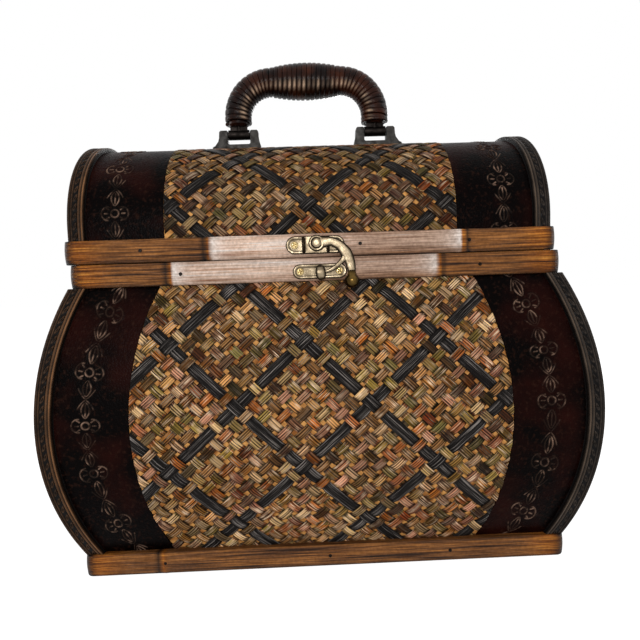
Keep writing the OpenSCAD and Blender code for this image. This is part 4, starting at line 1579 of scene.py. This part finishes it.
@dataclass
class Band:
    """A bent bamboo band: a crowned section carried round a rounded rectangle.

    The front is pale between its joints, by one share at the left and another at the right, partly as a
    painted highlight. A joint past the band's end isn't there. uv_step gives bands at different heights
    their own stretch of grain.
    """

    node: str
    body: str
    half_w: float
    half_d: float
    low: float
    joints: tuple[float, float]
    pale: tuple[float, float]
    height: float = 14.5
    shift: float = 0.0
    thick: float = 7.4
    corner: float = 6.0
    crown: float = 0.5
    spacing: float = 1.6
    uv_step: float = 13.0

    def section(self) -> tuple[Array, Array]:
        """Inset and height round the section: outer face, rounded edges, flat top, inside and bottom.

        Returns:
            Insets and heights of the section's points.
        """
        edge = 0.6
        turn = np.linspace(0, np.pi / 2, 5)
        face = np.linspace(-1, 1, 11)[1:-1]
        half = self.height / 2 - edge
        inset = np.concatenate([
            edge * (1 - np.sin(turn)) + self.crown, self.crown * face**2,
            edge * (1 - np.cos(turn)) + self.crown, [self.thick, self.thick]])
        level = np.concatenate([
            -half - edge * np.cos(turn), half * face, half + edge * np.sin(turn),
            [self.height / 2, -self.height / 2]])
        return inset, level

    def plan(self, inset: Array) -> Array:
        """Rings of the section seen from above, against the clock from the left end of the front.

        Straight runs go between the corner arcs, and the arcs shrink towards the inside.

        Args:
            inset: Insets of the section's points.
        Returns:
            Rings by section points by 2.
        """
        runs = ((0.0, -1.0), (1.0, 0.0), (0.0, 1.0), (-1.0, 0.0))
        small = np.maximum(self.corner - inset, 0.4)
        wide = self.half_w - inset - small
        deep = self.half_d - inset - small
        parts = []
        for quarter, (nx, ny) in enumerate(runs):
            long = self.half_w if nx == 0 else self.half_d
            t = np.linspace(-1, 1, int(2 * (long - self.corner) / self.spacing))[:, None]
            x = nx * (wide + small) - ny * wide * t
            y = ny * (deep + small) + nx * deep * t
            parts.append(np.stack([x, y], -1))
            angle = (np.linspace(0, np.pi / 2, 9)[1:-1] + (quarter - 1) * np.pi / 2)[:, None]
            cx = (1 if quarter in (0, 1) else -1) * wide
            cy = (1 if quarter in (1, 2) else -1) * deep
            parts.append(np.stack([cx + small * np.cos(angle), cy + small * np.sin(angle)], -1))
        return np.concatenate(parts)

    def marks(self, plan: Array, level: Array) -> dict[str, Array]:
        """Named values: pale between the joints, white and amber beside them, scorched ends, and painted
        shade on the end runs and along the edges. Pale and white are partly painted highlight.

        Args:
            plan: The rings from above.
            level: Heights of the section's points.
        Returns:
            Values that go from 0 to 1, rings by section points.
        """
        left, right = self.joints
        front = self.front(plan)
        place = plan[:, 0, 0] + self.shift
        outward = np.abs(plan[:, 0, 0]) / self.half_w
        up = level / self.height * 2
        inside = front * smooth(left - 0.6, left + 0.6, place) * smooth(right + 0.6, right - 0.6, place)
        pale = inside * (self.pale[0] + (self.pale[1] - self.pale[0]) * smooth(-25, 40, place))
        # Painted highlight: pale and white are whitest across the middle of the band's height, fading most
        # towards the bottom.
        sunk = 0.25 + 0.3 * smooth(-20, 60, place)[:, None]
        middle = 1 - 0.3 * np.clip(np.abs(up), 0, 1) ** 3 - sunk * smooth(0.0, -0.8, up)
        near = np.clip(np.minimum(place - left, right - place), 0, None)
        # White beside the joints, partly painted highlight.
        white = inside * np.exp(-near / 6) * min(1.0, 1.3 * max(self.pale))
        # Scorched corners, with painted shade over the runs along the trunk's two ends.
        ends = 0.9 * smooth(0.935, 0.985, outward)
        ends = np.maximum(ends, 0.5 * smooth(self.half_d - 6, self.half_d - 14, np.abs(plan[:, 0, 1])))
        rings = front * (line(place - left + 4.6, 1.8) + line(place - right - 4.2, 1.4))
        # Painted shade along the bottom edge and, less, along the top edge, weaker where the band is pale.
        foot = 0.7 * smooth(-0.66, -0.97, up) + 0.3 * smooth(0.8, 1.0, up)
        char = np.clip(ends[:, None] + 0.8 * rings[:, None] + foot * (1 - 0.85 * pale[:, None]), 0, 1)
        beside = np.maximum(line(place - left + 1.4, 1.4), line(place - right - 1.4, 1.4))
        amber = front * np.maximum(0.75 * smooth(0.79, 0.96, outward), 0.8 * beside)
        return {"pale": pale[:, None] * middle, "white": white[:, None] * middle,
                "amber": amber[:, None], "char": char}

    def front(self, plan: Array) -> Array:
        """1 for the rings of the front run, 0 for the others."""
        return (plan[:, 0, 1] < -self.half_d + 3).astype(float)

    def build(self, wardrobe: Wardrobe) -> None:
        """Makes the band: a ring of the section at each place round it, a little proud at the joints.

        Args:
            wardrobe: The finishes.
        """
        inset, level = self.section()
        plan = self.plan(inset)
        place = plan[:, 0, 0] + self.shift
        ridge = sum(line(place - joint, 1.3) for joint in self.joints) * self.front(plan)
        face = 1 - smooth(0.6, 2.5, inset)
        outer = np.where(np.abs(plan[..., 1]) > self.half_d - 3, np.sign(plan[..., 1]), 0)
        points = np.concatenate([plan, np.broadcast_to(level[None, :, None], (*plan.shape[:2], 1))], -1)
        points[..., 1] += 0.35 * ridge[:, None] * face * outer
        points += np.array([self.shift, 0, self.low + self.height / 2])
        lengths = run_length(plan[:, 0], closed=True), run_length(np.stack([inset, level], -1), closed=True)
        uv = np.stack(np.meshgrid(*lengths, indexing="ij"), -1) + self.low * self.uv_step
        skin = grid(points, uv, wrap_rows=True, wrap_cols=True, values=self.marks(plan, level)).outward()
        make_piece(skin, f"{self.node}_bamboo", self.body, wardrobe.bamboo, (self.node,), 50)


@dataclass
class Latch:
    """The swing-hook latch: plates with raised rims, screws, rivet, hook and its knob."""

    face_y: float = -70.0
    plate_t: float = 1.0
    pivot: tuple[float, float] = (0.0, 215.45)
    hook_y: float = -73.15
    upper_z: float = 214.55
    lower_z: float = 197.55

    def rimmed(self, outline: Array, depth: float) -> Skin:
        """A plate with a rounded rim and a sunk field, darkened by dirt and painted shade at its edge and
        beside the rim.

        Args:
            outline: The plate's outline.
            depth: Its thickness at the rim.
        Returns:
            The plate.
        """
        # Third column: dirt and painted shade, darkest at the outer edge, and again over the sunk field.
        steps = np.array([
            (0.0, 0.0, 1.0), (0.0, depth - 0.4, 1.0), (0.2, depth - 0.1, 1.0), (0.6, depth, 0.9),
            (0.85, depth, 0.0), (1.5, depth, 0.0), (1.8, depth - 0.14, 0.5), (2.1, depth - 0.28, 0.6),
            (2.8, depth - 0.28, 0.42)])
        return plate(outline, steps)

    def screw(self, x: float, y: float, z: float, turn: float) -> Skin:
        """A screw head: rings of a dome, sunk along two crossed slots turned by an angle.

        Args:
            x: Its middle.
            y: The face that it sits on.
            z: Its height on the trunk.
            turn: The slots' angle.
        Returns:
            The head.
        """
        radius = np.array([0.25, 0.6, 0.95, 1.3, 1.6, 2.0, 2.3, 2.45])[:, None]
        sides = 48
        angle = np.arange(sides) * 2 * np.pi / sides
        px, py = radius * np.cos(angle), radius * np.sin(angle)
        first = px * math.cos(turn) + py * math.sin(turn)
        second = py * math.cos(turn) - px * math.sin(turn)
        slot = np.maximum(line(first, 0.32), line(second, 0.32)) * smooth(1.5, 1.2, radius)
        height = 0.85 * np.sqrt(1 - (radius / 2.6) ** 2) + 0.15 - 0.55 * slot
        height[-1] = 0.0
        points = np.stack([px, py, height + 0 * px], -1)
        uv = np.stack(np.meshgrid(np.arange(8.0), np.arange(sides + 1.0), indexing="ij"), -1)
        # Painted shade in the slots, at the rim and in a thin ring.
        dirt = np.clip(0.7 * slot + smooth(2.2, 2.45, radius) + 0.25 * line(radius - 1.6, 0.2), 0, 1)
        skin = grid(points, uv, wrap_cols=True, values={"dirt": dirt})
        skin.caps = end_caps(len(radius), sides)
        return skin.outward().moved(on_front(x, y, z))

    def staple(self) -> Skin:
        """The staple: an arch over the hook's tip, widest in its middle and turned a little about Y.

        Returns:
            The staple.
        """
        a = np.linspace(-np.pi / 2, np.pi / 2, 31)
        tilt = math.radians(-6)
        rise, out = 4.5 * np.sin(a), 4.3 * np.cos(a)
        path = np.stack([2 + rise * math.sin(tilt), -70.9 - out, 196.65 + rise * math.cos(tilt)], -1)
        level, forth = 4.3 * np.sin(a), 4.5 * np.cos(a)
        up = np.stack([level * math.sin(tilt), -forth, level * math.cos(tilt)], -1)
        up /= np.linalg.norm(up, axis=1, keepdims=True)
        across = np.broadcast_to([math.cos(tilt), 0.0, -math.sin(tilt)], path.shape)
        ring = np.arange(16) * np.pi / 8
        section = ovals(ring, (0.8, 1.0), 3.3 * (0.4 + 0.6 * np.cos(a)), np.full_like(a, 0.55))
        # Painted shade on the staple's sides and towards its feet.
        sides = smooth(0.3, 0.8, np.abs(np.cos(ring)))
        feet = smooth(0.6, 0.9, np.abs(np.sin(a)))[:, None]
        return tube(path, across, up, section, {"dirt": np.maximum(sides, feet)})

    def sweep(self, centre: Array, half: Array, thick: Array, y: float) -> Skin:
        """A rounded bar in the hook's plane: an ellipse carried along a smooth line.

        Args:
            centre: Places on the line from the pivot, k by 2, joined by a smooth curve.
            half: Half width at each place.
            thick: Half thickness at each place.
            y: Where the middle of the bar lies.
        Returns:
            The closed surface.
        """
        knots = run_length(centre)
        t = np.linspace(0, knots[-1], 60)
        dense = np.linspace(0, knots[-1], 200)
        weight = line(t[:, None] - dense, 1.2)
        weight /= weight.sum(1, keepdims=True)
        x, z, wide, deep = (weight @ np.interp(dense, knots, value)
                            for value in (centre[:, 0], centre[:, 1], half, thick))
        path = np.stack([self.pivot[0] + x, np.full_like(x, y), self.pivot[1] + z], -1)
        run = np.gradient(path, axis=0)
        run /= np.linalg.norm(run, axis=1, keepdims=True)
        up = np.broadcast_to([0.0, -1.0, 0.0], path.shape)
        angle = np.arange(16) * np.pi / 8
        section = ovals(angle, (0.7, 0.7), wide, deep)
        # Painted shade on the bar's back and towards its sides.
        dirt = np.where(np.sin(angle) < -0.1, 1.0, smooth(0.36, 0.8, np.abs(np.cos(angle))))
        return tube(path, np.cross(run, up), up, section, {"dirt": dirt})

    def hook(self) -> list[Skin]:
        """The eye, the arm and the tip of the hook.

        Returns:
            Their surfaces.
        """
        # Third column: dirt and painted shade, dark on the eye's sides.
        eye = np.array([
            (1.8, 0.0, 1.0), (4.8, 0.0, 1.0), (5.1, 0.1, 1.0), (5.2, 0.3, 1.0), (5.2, 1.2, 1.0),
            (5.0, 1.6, 1.0), (4.7, 1.85, 0.9), (4.4, 2.0, 0.1), (4.0, 2.0, 0.0), (3.7, 1.95, 0.2),
            (3.5, 1.7, 1.0), (1.8, 1.7, 1.0)])
        arm = self.sweep(
            np.array([(2.0, 0.5), (9.6, 1.0), (14.9, -1.7), (18.8, -6.7), (21.1, -12.5), (22.1, -19.0)]),
            np.array([4.2, 2.7, 3.1, 3.8, 3.3, 2.6]), np.full(6, 1.0), self.hook_y)
        tip = self.sweep(
            np.array([(18.6, -8.0), (16.9, -10.6), (14.6, -13.0), (11.8, -15.4), (8.8, -17.1), (5.4, -18.3),
                      (0.2, -19.0)]),
            np.array([2.6, 1.9, 1.5, 1.25, 1.1, 0.95, 0.8]), np.linspace(0.9, 0.7, 7), self.hook_y)
        return [lathe(eye, 48).moved(on_front(self.pivot[0], self.hook_y + 1.0, self.pivot[1])), arm, tip]

    def knob(self) -> Skin:
        """The ball at the end of the hook, on a neck that flares into it.

        Returns:
            The knob.
        """
        height = np.linspace(-0.97, 0.5, 12)
        ball = np.stack([4.8 * np.sqrt(1 - height**2), 4.8 * height, 0 * height], -1)
        neck = np.array([
            (3.3, 3.3, 0.0), (2.85, 4.5, 0.2), (2.6, 5.6, 0.5), (2.5, 6.6, 0.9), (1.8, 6.9, 1.0)])
        place = np.array([self.pivot[0] + 21.8, -75.1, self.pivot[1] - 24.7])
        skin = lathe(np.concatenate([ball, neck]), 36)
        # Painted shade: darker towards the ball's sides and underside, away from its axis.
        flank = np.hypot(skin.points[:, 0], np.minimum(skin.points[:, 2], 0))
        skin.values["dirt"] = np.maximum(skin.values["dirt"], 0.9 * smooth(0.8, 4.2, flank))
        height = skin.points[:, 2]
        lean = np.stack([0.02 * height, 0.28 * np.clip(height - 2, 0, None), 0 * height], -1)
        return skin.moved(lambda p: p + lean + place)

    def upper_plate(self) -> Skin:
        """The plate on the lid, with a raised pad under the hook and a thin dark strip of painted shadow on
        each side of it.

        Returns:
            The plate, the pad and the grooves.
        """
        # Third column: painted shade on the pad's sides, and all over the two flat strips, which are
        # painted shadow.
        low = np.array([(0.05, 0.5, 1.0), (0.05, 1.5, 1.0), (0.35, 1.8, 0.2), (0.8, 1.8, 0.0)])
        flat = np.array([(0.0, 0.4, 1.0), (0.0, 1.0, 1.0), (0.1, 1.06, 1.0)])
        body = self.rimmed(stadium(38, 11.4), self.plate_t)
        parts = [body.moved(on_front(-0.8, self.face_y, self.upper_z))]
        for start, end, steps in ((-7.1, 6.5, low), (-9.4, -7.2, flat), (6.6, 8.4, flat)):
            corners = np.array([(start, -5.4), (end, -5.4), (end, 5.4), (start, 5.4)])
            parts.append(plate(corners, steps).moved(on_front(0.0, self.face_y, self.upper_z)))
        return joined(parts)

    def build(self, wardrobe: Wardrobe) -> None:
        """Makes the plates, the fittings and the hook.

        Args:
            wardrobe: The finishes.
        """
        y = self.face_y
        make_piece(self.upper_plate(), "latch_plate_cast", "lid", wardrobe.brass, ("latch_plate",))
        lower = self.rimmed(stadium(35, 9.6), self.plate_t).moved(on_front(1.6, y, self.lower_z))
        make_piece(lower, "catch_plate_cast", "case", wardrobe.brass, ("catch_plate",))
        make_piece(self.staple(), "catch_staple_cast", "case", wardrobe.brass, ("catch_staple",))
        seat = y - self.plate_t + 0.28
        make_piece(self.screw(-14.1, seat, self.upper_z, 0.5), "latch_screw_head", "lid",
                   wardrobe.bright_brass, ("latch_screw",))
        pair = [self.screw(x, seat, self.lower_z, turn) for x, turn in ((-11.1, 0.3), (14.3, 0.9))]
        make_piece(joined(pair), "catch_screw_heads", "case",
                   wardrobe.bright_brass, ("catch_screws",))
        # Third column: dirt and painted shade, dark on the shank and sides.
        head = np.array([
            (1.58, -4.0, 1.0), (1.58, 4.3, 1.0), (2.8, 4.35, 1.0), (3.0, 4.6, 1.0), (3.0, 5.1, 1.0),
            (2.9, 5.4, 0.6), (2.6, 5.6, 0.0), (1.2, 5.68, 0.0), (0.4, 5.7, 0.0)])
        rivet = lathe(head, 40).moved(on_front(self.pivot[0], y, self.pivot[1]))
        make_piece(rivet, "latch_rivet_turned", "lid", wardrobe.brass, ("latch_rivet",))
        make_piece(joined(self.hook()), "latch_hook_cast", "hook", wardrobe.brass, ("latch_hook",))
        make_piece(self.knob(), "latch_hook_knob", "hook", wardrobe.dark_brass, ("latch_hook",))


@dataclass
class Handle:
    """The bound handle and its brackets."""

    shift: float = VAULT.shift
    pivot_z: float = 305.0
    half_span: float = 52.0
    rise: float = 38.3
    bend: float = 26.0
    leg_gap: float = 5.6
    core: float = 7.8
    grip_core: float = 10.7
    cord_t: float = 2.5
    turns: int = 41
    turn_points: int = 36

    def path(self, s: Array) -> tuple[Array, Array, Array]:
        """Middle line of the handle: up a leg, round a bend, along the grip and down again.

        Args:
            s: Length from the foot of the left leg.
        Returns:
            X and Z from the pivot, and the angle of the outward normal from +X.
        """
        leg, arc, grip = self.lengths()
        first = np.clip((s - leg) / arc, 0, 1)
        second = np.clip((s - leg - arc - grip) / arc, 0, 1)
        angle = np.pi - (first + second) * np.pi / 2
        inner = self.half_span - self.bend
        x = -inner + np.clip(s - leg - arc, 0, grip) + self.bend * np.cos(angle)
        z = self.rise - self.bend + self.bend * np.sin(angle)
        z = z - np.clip(leg - s, 0, None) - np.clip(s - leg - 2 * arc - grip, 0, None)
        return x, z, angle

    def lengths(self) -> tuple[float, float, float]:
        """Lengths of a leg, of a bend and of the grip."""
        leg = self.rise - self.bend - self.leg_gap
        return leg, self.bend * math.pi / 2, 2 * (self.half_span - self.bend)

    def core_radius(self, s: Array) -> Array:
        """Radius of the core, which swells in an arc along the grip.

        Args:
            s: Length from the foot of the left leg.
        Returns:
            The radius.
        """
        leg, arc, grip = self.lengths()
        away = np.abs(s - leg - arc - grip / 2) / (grip / 2)
        return self.core + (self.grip_core - self.core) * np.clip(1 - away**2, 0, None)

    def helix(self, turn: Array) -> tuple[Array, Array, Array]:
        """The middle of the binding at a turn, which runs evenly along the handle with a little unevenness.

        Args:
            turn: Turns from the foot of the left leg.
        Returns:
            The points, and unit vectors along the handle and out from it.
        """
        leg, arc, grip = self.lengths()
        total = 2 * leg + 2 * arc + grip
        step = total / (self.turns + 0.6)
        knots = np.random.default_rng(5).normal(0, 0.05, self.turns + 2)
        s = step * (0.8 + turn + np.interp(turn, np.arange(self.turns + 2), knots))
        s = np.clip(s, step * 0.5, total - step * 0.5)
        x, z, angle = self.path(s)
        around = 2 * np.pi * turn
        normal = np.stack([np.cos(angle), 0 * angle, np.sin(angle)], -1)
        depth = np.array([0.0, 1.0, 0.0])
        out = normal * np.cos(around)[:, None] + depth * np.sin(around)[:, None]
        run = np.stack([np.sin(angle), 0 * angle, -np.cos(angle)], -1)
        middle = np.stack([x, 0 * x, z], -1) + out * (self.core_radius(s) + self.cord_t / 2)[:, None]
        return middle + np.array([self.shift, 0, self.pivot_z]), run, out

    def cord(self) -> Skin:
        """The binding: a flat section carried along a helix, as wide as its turns are apart.

        Returns:
            The cord.
        """
        turn = np.arange(self.turns * self.turn_points + 1) / self.turn_points
        middle, run, out = self.helix(turn)
        apart = np.linalg.norm(self.helix(turn + 1)[0] - self.helix(turn - 1)[0], axis=1)
        half = np.maximum(0.265 * apart, 1.2)
        ring = np.arange(12) * 2 * np.pi / 12
        section = ovals(ring, (0.8, 0.5), half, np.full_like(half, self.cord_t / 2))
        # edge: painted shade on the section's sides and inner face, between the turns.
        edge = np.where(np.sin(ring) < -0.1, 1.0, np.abs(np.cos(ring)) ** 3)
        # worn: painted glint, with wear, on each turn's crest at the front, below the grip's middle and
        # inside the legs.
        rub_and_glint = np.random.default_rng(7).uniform(0.1, 1.0, self.turns + 1)[turn.astype(int)]
        worn = rub_and_glint * np.exp(-(((turn % 1 - 0.672) / 0.032) ** 2))
        crest = np.clip(1 - np.abs(np.cos(ring)) / 0.6, 0, 1) * (np.sin(ring) > 0)
        return tube(middle, run, out, section, {"edge": edge, "worn": worn[:, None] * crest})

    def bracket(self, side: Side) -> Skin:
        """A bracket: a U with a long outer foot, bevelled all round, standing on the mat.

        Args:
            side: Left or right.
        Returns:
            The bracket.
        """
        outline = np.array([
            (-16.4, -11.75), (20.2, -11.75), (20.2, -9.6), (18.2, -8.6), (15.9, -5.4), (15.2, -3.0),
            (14.9, 1.6), (13.8, 2.7), (9.2, 2.7), (8.4, 1.9), (8.4, -6.9), (7.6, -7.7), (-7.6, -7.7),
            (-8.4, -6.9), (-8.4, 1.9), (-9.2, 2.7), (-13.6, 2.7), (-14.6, 1.7), (-15.0, -4.0),
            (-16.4, -9.4)])
        # Third column: dirt and painted shade at the bevelled edges.
        steps = np.array([
            (0.6, -4.4, 0.4), (0.2, -4.2, 0.0), (0.0, -3.7, 0.2), (0.0, 3.7, 0.2), (0.2, 4.2, 0.0),
            (0.6, 4.4, 0.25)])
        x = self.shift + side.value * self.half_span
        skin = plate(outline, steps).moved(lambda p: np.stack([
            x + side.value * p[:, 0], -p[:, 2], self.pivot_z + p[:, 1]], -1))
        return skin.outward()

    def build(self, wardrobe: Wardrobe) -> None:
        """Makes the binding and both brackets.

        Args:
            wardrobe: The finishes.
        """
        make_piece(self.cord(), "handle_binding", "handle", wardrobe.cord, ("handle_wrap",), 80)
        for side in Side:
            node = f"{side.name.lower()}_handle_bracket"
            make_piece(self.bracket(side), f"{node}_cast", "lid", wardrobe.gunmetal, (node,), 30)


@dataclass
class PlainSolids:
    """The solids whose own shape is shown, each with its finish."""

    nodes: dict[str, bpy.types.Object]

    def build(self, wardrobe: Wardrobe) -> None:
        """Gives each solid its finish.

        Args:
            wardrobe: The finishes.
        """
        finishes = {
            "board": wardrobe.wood, "brads": wardrobe.iron, "hinge": wardrobe.brass,
            "handle_core": wardrobe.cord, "handle_eye": wardrobe.iron, "handle_pin": wardrobe.gunmetal,
            "bracket_rivets": wardrobe.gunmetal}
        for name, node in self.nodes.items():
            for key, material in finishes.items():
                if key in name:
                    node.data.materials.clear()
                    node.data.materials.append(material)
                    LOG.info("%s: %s", name, material.name)


@dataclass
class Studio:
    """Camera, floor, light and background."""

    eye: tuple[float, float, float] = (-6.3155, -394.638, 190.3695)
    yaw: float = 0.0212489
    pitch: float = 0.0752435
    roll: float = -0.0345954
    lens: float = 28.125
    aim: tuple[float, float, float] = (0.0, 0.0, 170.0)

    def camera(self) -> None:
        """Sets the camera at the photograph's viewpoint: turned by yaw, tipped by pitch, then rolled."""
        flat = math.cos(self.pitch)
        forward = Vector((math.sin(self.yaw) * flat, math.cos(self.yaw) * flat, -math.sin(self.pitch)))
        right = Vector((math.cos(self.yaw), -math.sin(self.yaw), 0))
        up = right.cross(forward)
        level = math.cos(self.roll) * right + math.sin(self.roll) * up
        crown = -math.sin(self.roll) * right + math.cos(self.roll) * up
        data = bpy.data.cameras.new("camera")
        data.lens = self.lens
        data.sensor_width = 36
        data.clip_start = 0.01
        camera = bpy.data.objects.new("camera", data)
        turn = Matrix((level, crown, -forward)).transposed().to_4x4()
        camera.matrix_world = Matrix.Translation(Vector(self.eye) * MM) @ turn
        bpy.context.scene.collection.objects.link(camera)
        bpy.context.scene.camera = camera

    @staticmethod
    def seen(wires: Wires) -> Socket:
        """1 for rays from the camera and for mirrored and bent rays, 0 for light on the trunk.

        Args:
            wires: The tree to add to.
        Returns:
            The value.
        """
        path = wires.add("ShaderNodeLightPath").outputs
        glossy = wires.math("MAXIMUM", path["Is Camera Ray"], path["Is Glossy Ray"])
        return wires.math("MAXIMUM", glossy, path["Is Transmission Ray"])

    def floor(self) -> None:
        """A wide pale floor that is white where it is lit and keeps the trunk's shadow."""
        t = np.linspace(-6000, 6000, 9)
        x, y = np.meshgrid(t, t, indexing="ij")
        points = np.stack([x, y, np.full_like(x, -0.1)], -1)
        skin = grid(points, points[..., :2]).facing(np.array([0, 0, -100.0]))
        mesh = bpy.data.meshes.new("floor")
        mesh.from_pydata((skin.points * MM).tolist(), [], skin.quads.tolist())
        material = bpy.data.materials.new("floor")
        material.use_nodes = True
        tree = material.node_tree
        tree.nodes.remove(tree.nodes["Principled BSDF"])
        wires = Wires(tree)
        diffuse = wires.add("ShaderNodeBsdfDiffuse", {"Color": (0.5, 0.5, 0.5, 1)})
        glow = wires.add("ShaderNodeEmission", {"Strength": wires.math("MULTIPLY", self.seen(wires), 0.84)})
        both = wires.add("ShaderNodeAddShader", {0: diffuse.outputs[0], 1: glow.outputs[0]})
        tree.links.new(both.outputs[0], tree.nodes["Material Output"].inputs["Surface"])
        mesh.materials.append(material)
        floor = bpy.data.objects.new("floor", mesh)
        bpy.context.scene.collection.objects.link(floor)

    def lamp(self, name: str, place: tuple[float, float, float], size: float, power: float) -> None:
        """A square soft lamp that faces the middle of the trunk.

        Args:
            name: The lamp's name.
            place: Where it stands, in millimetres.
            size: Its side, in millimetres.
            power: Its power in watts.
        """
        data = bpy.data.lights.new(name, "AREA")
        data.size = size * MM
        data.energy = power
        lamp = bpy.data.objects.new(name, data)
        spot = Vector(place) * MM
        aim = Vector(self.aim) * MM - spot
        lamp.matrix_world = Matrix.Translation(spot) @ aim.to_track_quat("-Z", "Y").to_matrix().to_4x4()
        bpy.context.scene.collection.objects.link(lamp)

    def world(self) -> None:
        """A background that is white where it is seen and a soft grey light otherwise."""
        world = bpy.data.worlds.new("studio")
        world.use_nodes = True
        wires = Wires(world.node_tree)
        strength = wires.spread(self.seen(wires), 0.0, 1.0, 0.5, 1.0)
        back = world.node_tree.nodes["Background"]
        back.inputs["Color"].default_value = (1, 1, 1, 1)
        world.node_tree.links.new(strength, back.inputs["Strength"])
        bpy.context.scene.world = world

    def build(self) -> None:
        """Makes the whole studio."""
        self.camera()
        self.floor()
        self.lamp("key", (-120, -1150, 400), 260, 5.8)
        self.lamp("back", (250, 1150, 520), 400, 4.2)
        self.lamp("left", (-1150, 150, 480), 400, 3.0)
        self.lamp("right", (1150, 150, 480), 400, 3.0)
        self.world()
        bpy.context.scene.view_settings.view_transform = "Standard"


def clear_scene() -> None:
    """Removes what Blender's start file brings."""
    for item in list(bpy.data.objects):
        bpy.data.objects.remove(item)


def main() -> None:
    """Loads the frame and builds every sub-assembly in order."""
    logging.basicConfig(level=logging.INFO, format="%(message)s")
    clear_scene()
    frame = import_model()
    Studio().build()
    wardrobe = Wardrobe.made()
    PlainSolids(frame["nodes"]).build(wardrobe)
    mats = (
        CaseMat((-10.2, 51.0), rise=(44.3, 40.4), fall=(-41.2, 40.6), seed=3),
        CaseMat((-10.2, 51.0), rise=(44.3, 40.4), fall=(-41.2, 40.6), seed=8, face=Face.REAR),
        # The lid mat's lower light paints it in shade.
        LidMat((-4.5, 20.3), rise=(45.2, 39.3), fall=(-45.1, 40.5), seed=21, light=0.58),
    )
    for mat in mats:
        mat.build(wardrobe)
    chain = FlowerChain()
    CaseLeather(chain).build(wardrobe)
    LidLeather(chain).build(wardrobe)
    Edging().build(wardrobe)
    bands = (
        Band("base_band", "case", 162, 72, low=0.0, joints=(-108.0, 400.0), pale=(0.0, 0.0)),
        Band("rim_band", "case", 160, 70, low=191.5, joints=(-93.0, 78.0), pale=(0.8, 0.45), height=14.9),
        Band("lid_band", "lid", 160, 70, low=206.8, joints=(-68.0, 94.0), pale=(1.0, 0.45), height=15.0,
             shift=VAULT.shift),
    )
    for band in bands:
        band.build(wardrobe)
    Latch().build(wardrobe)
    Handle().build(wardrobe)


if __name__ == "__main__":
    main()
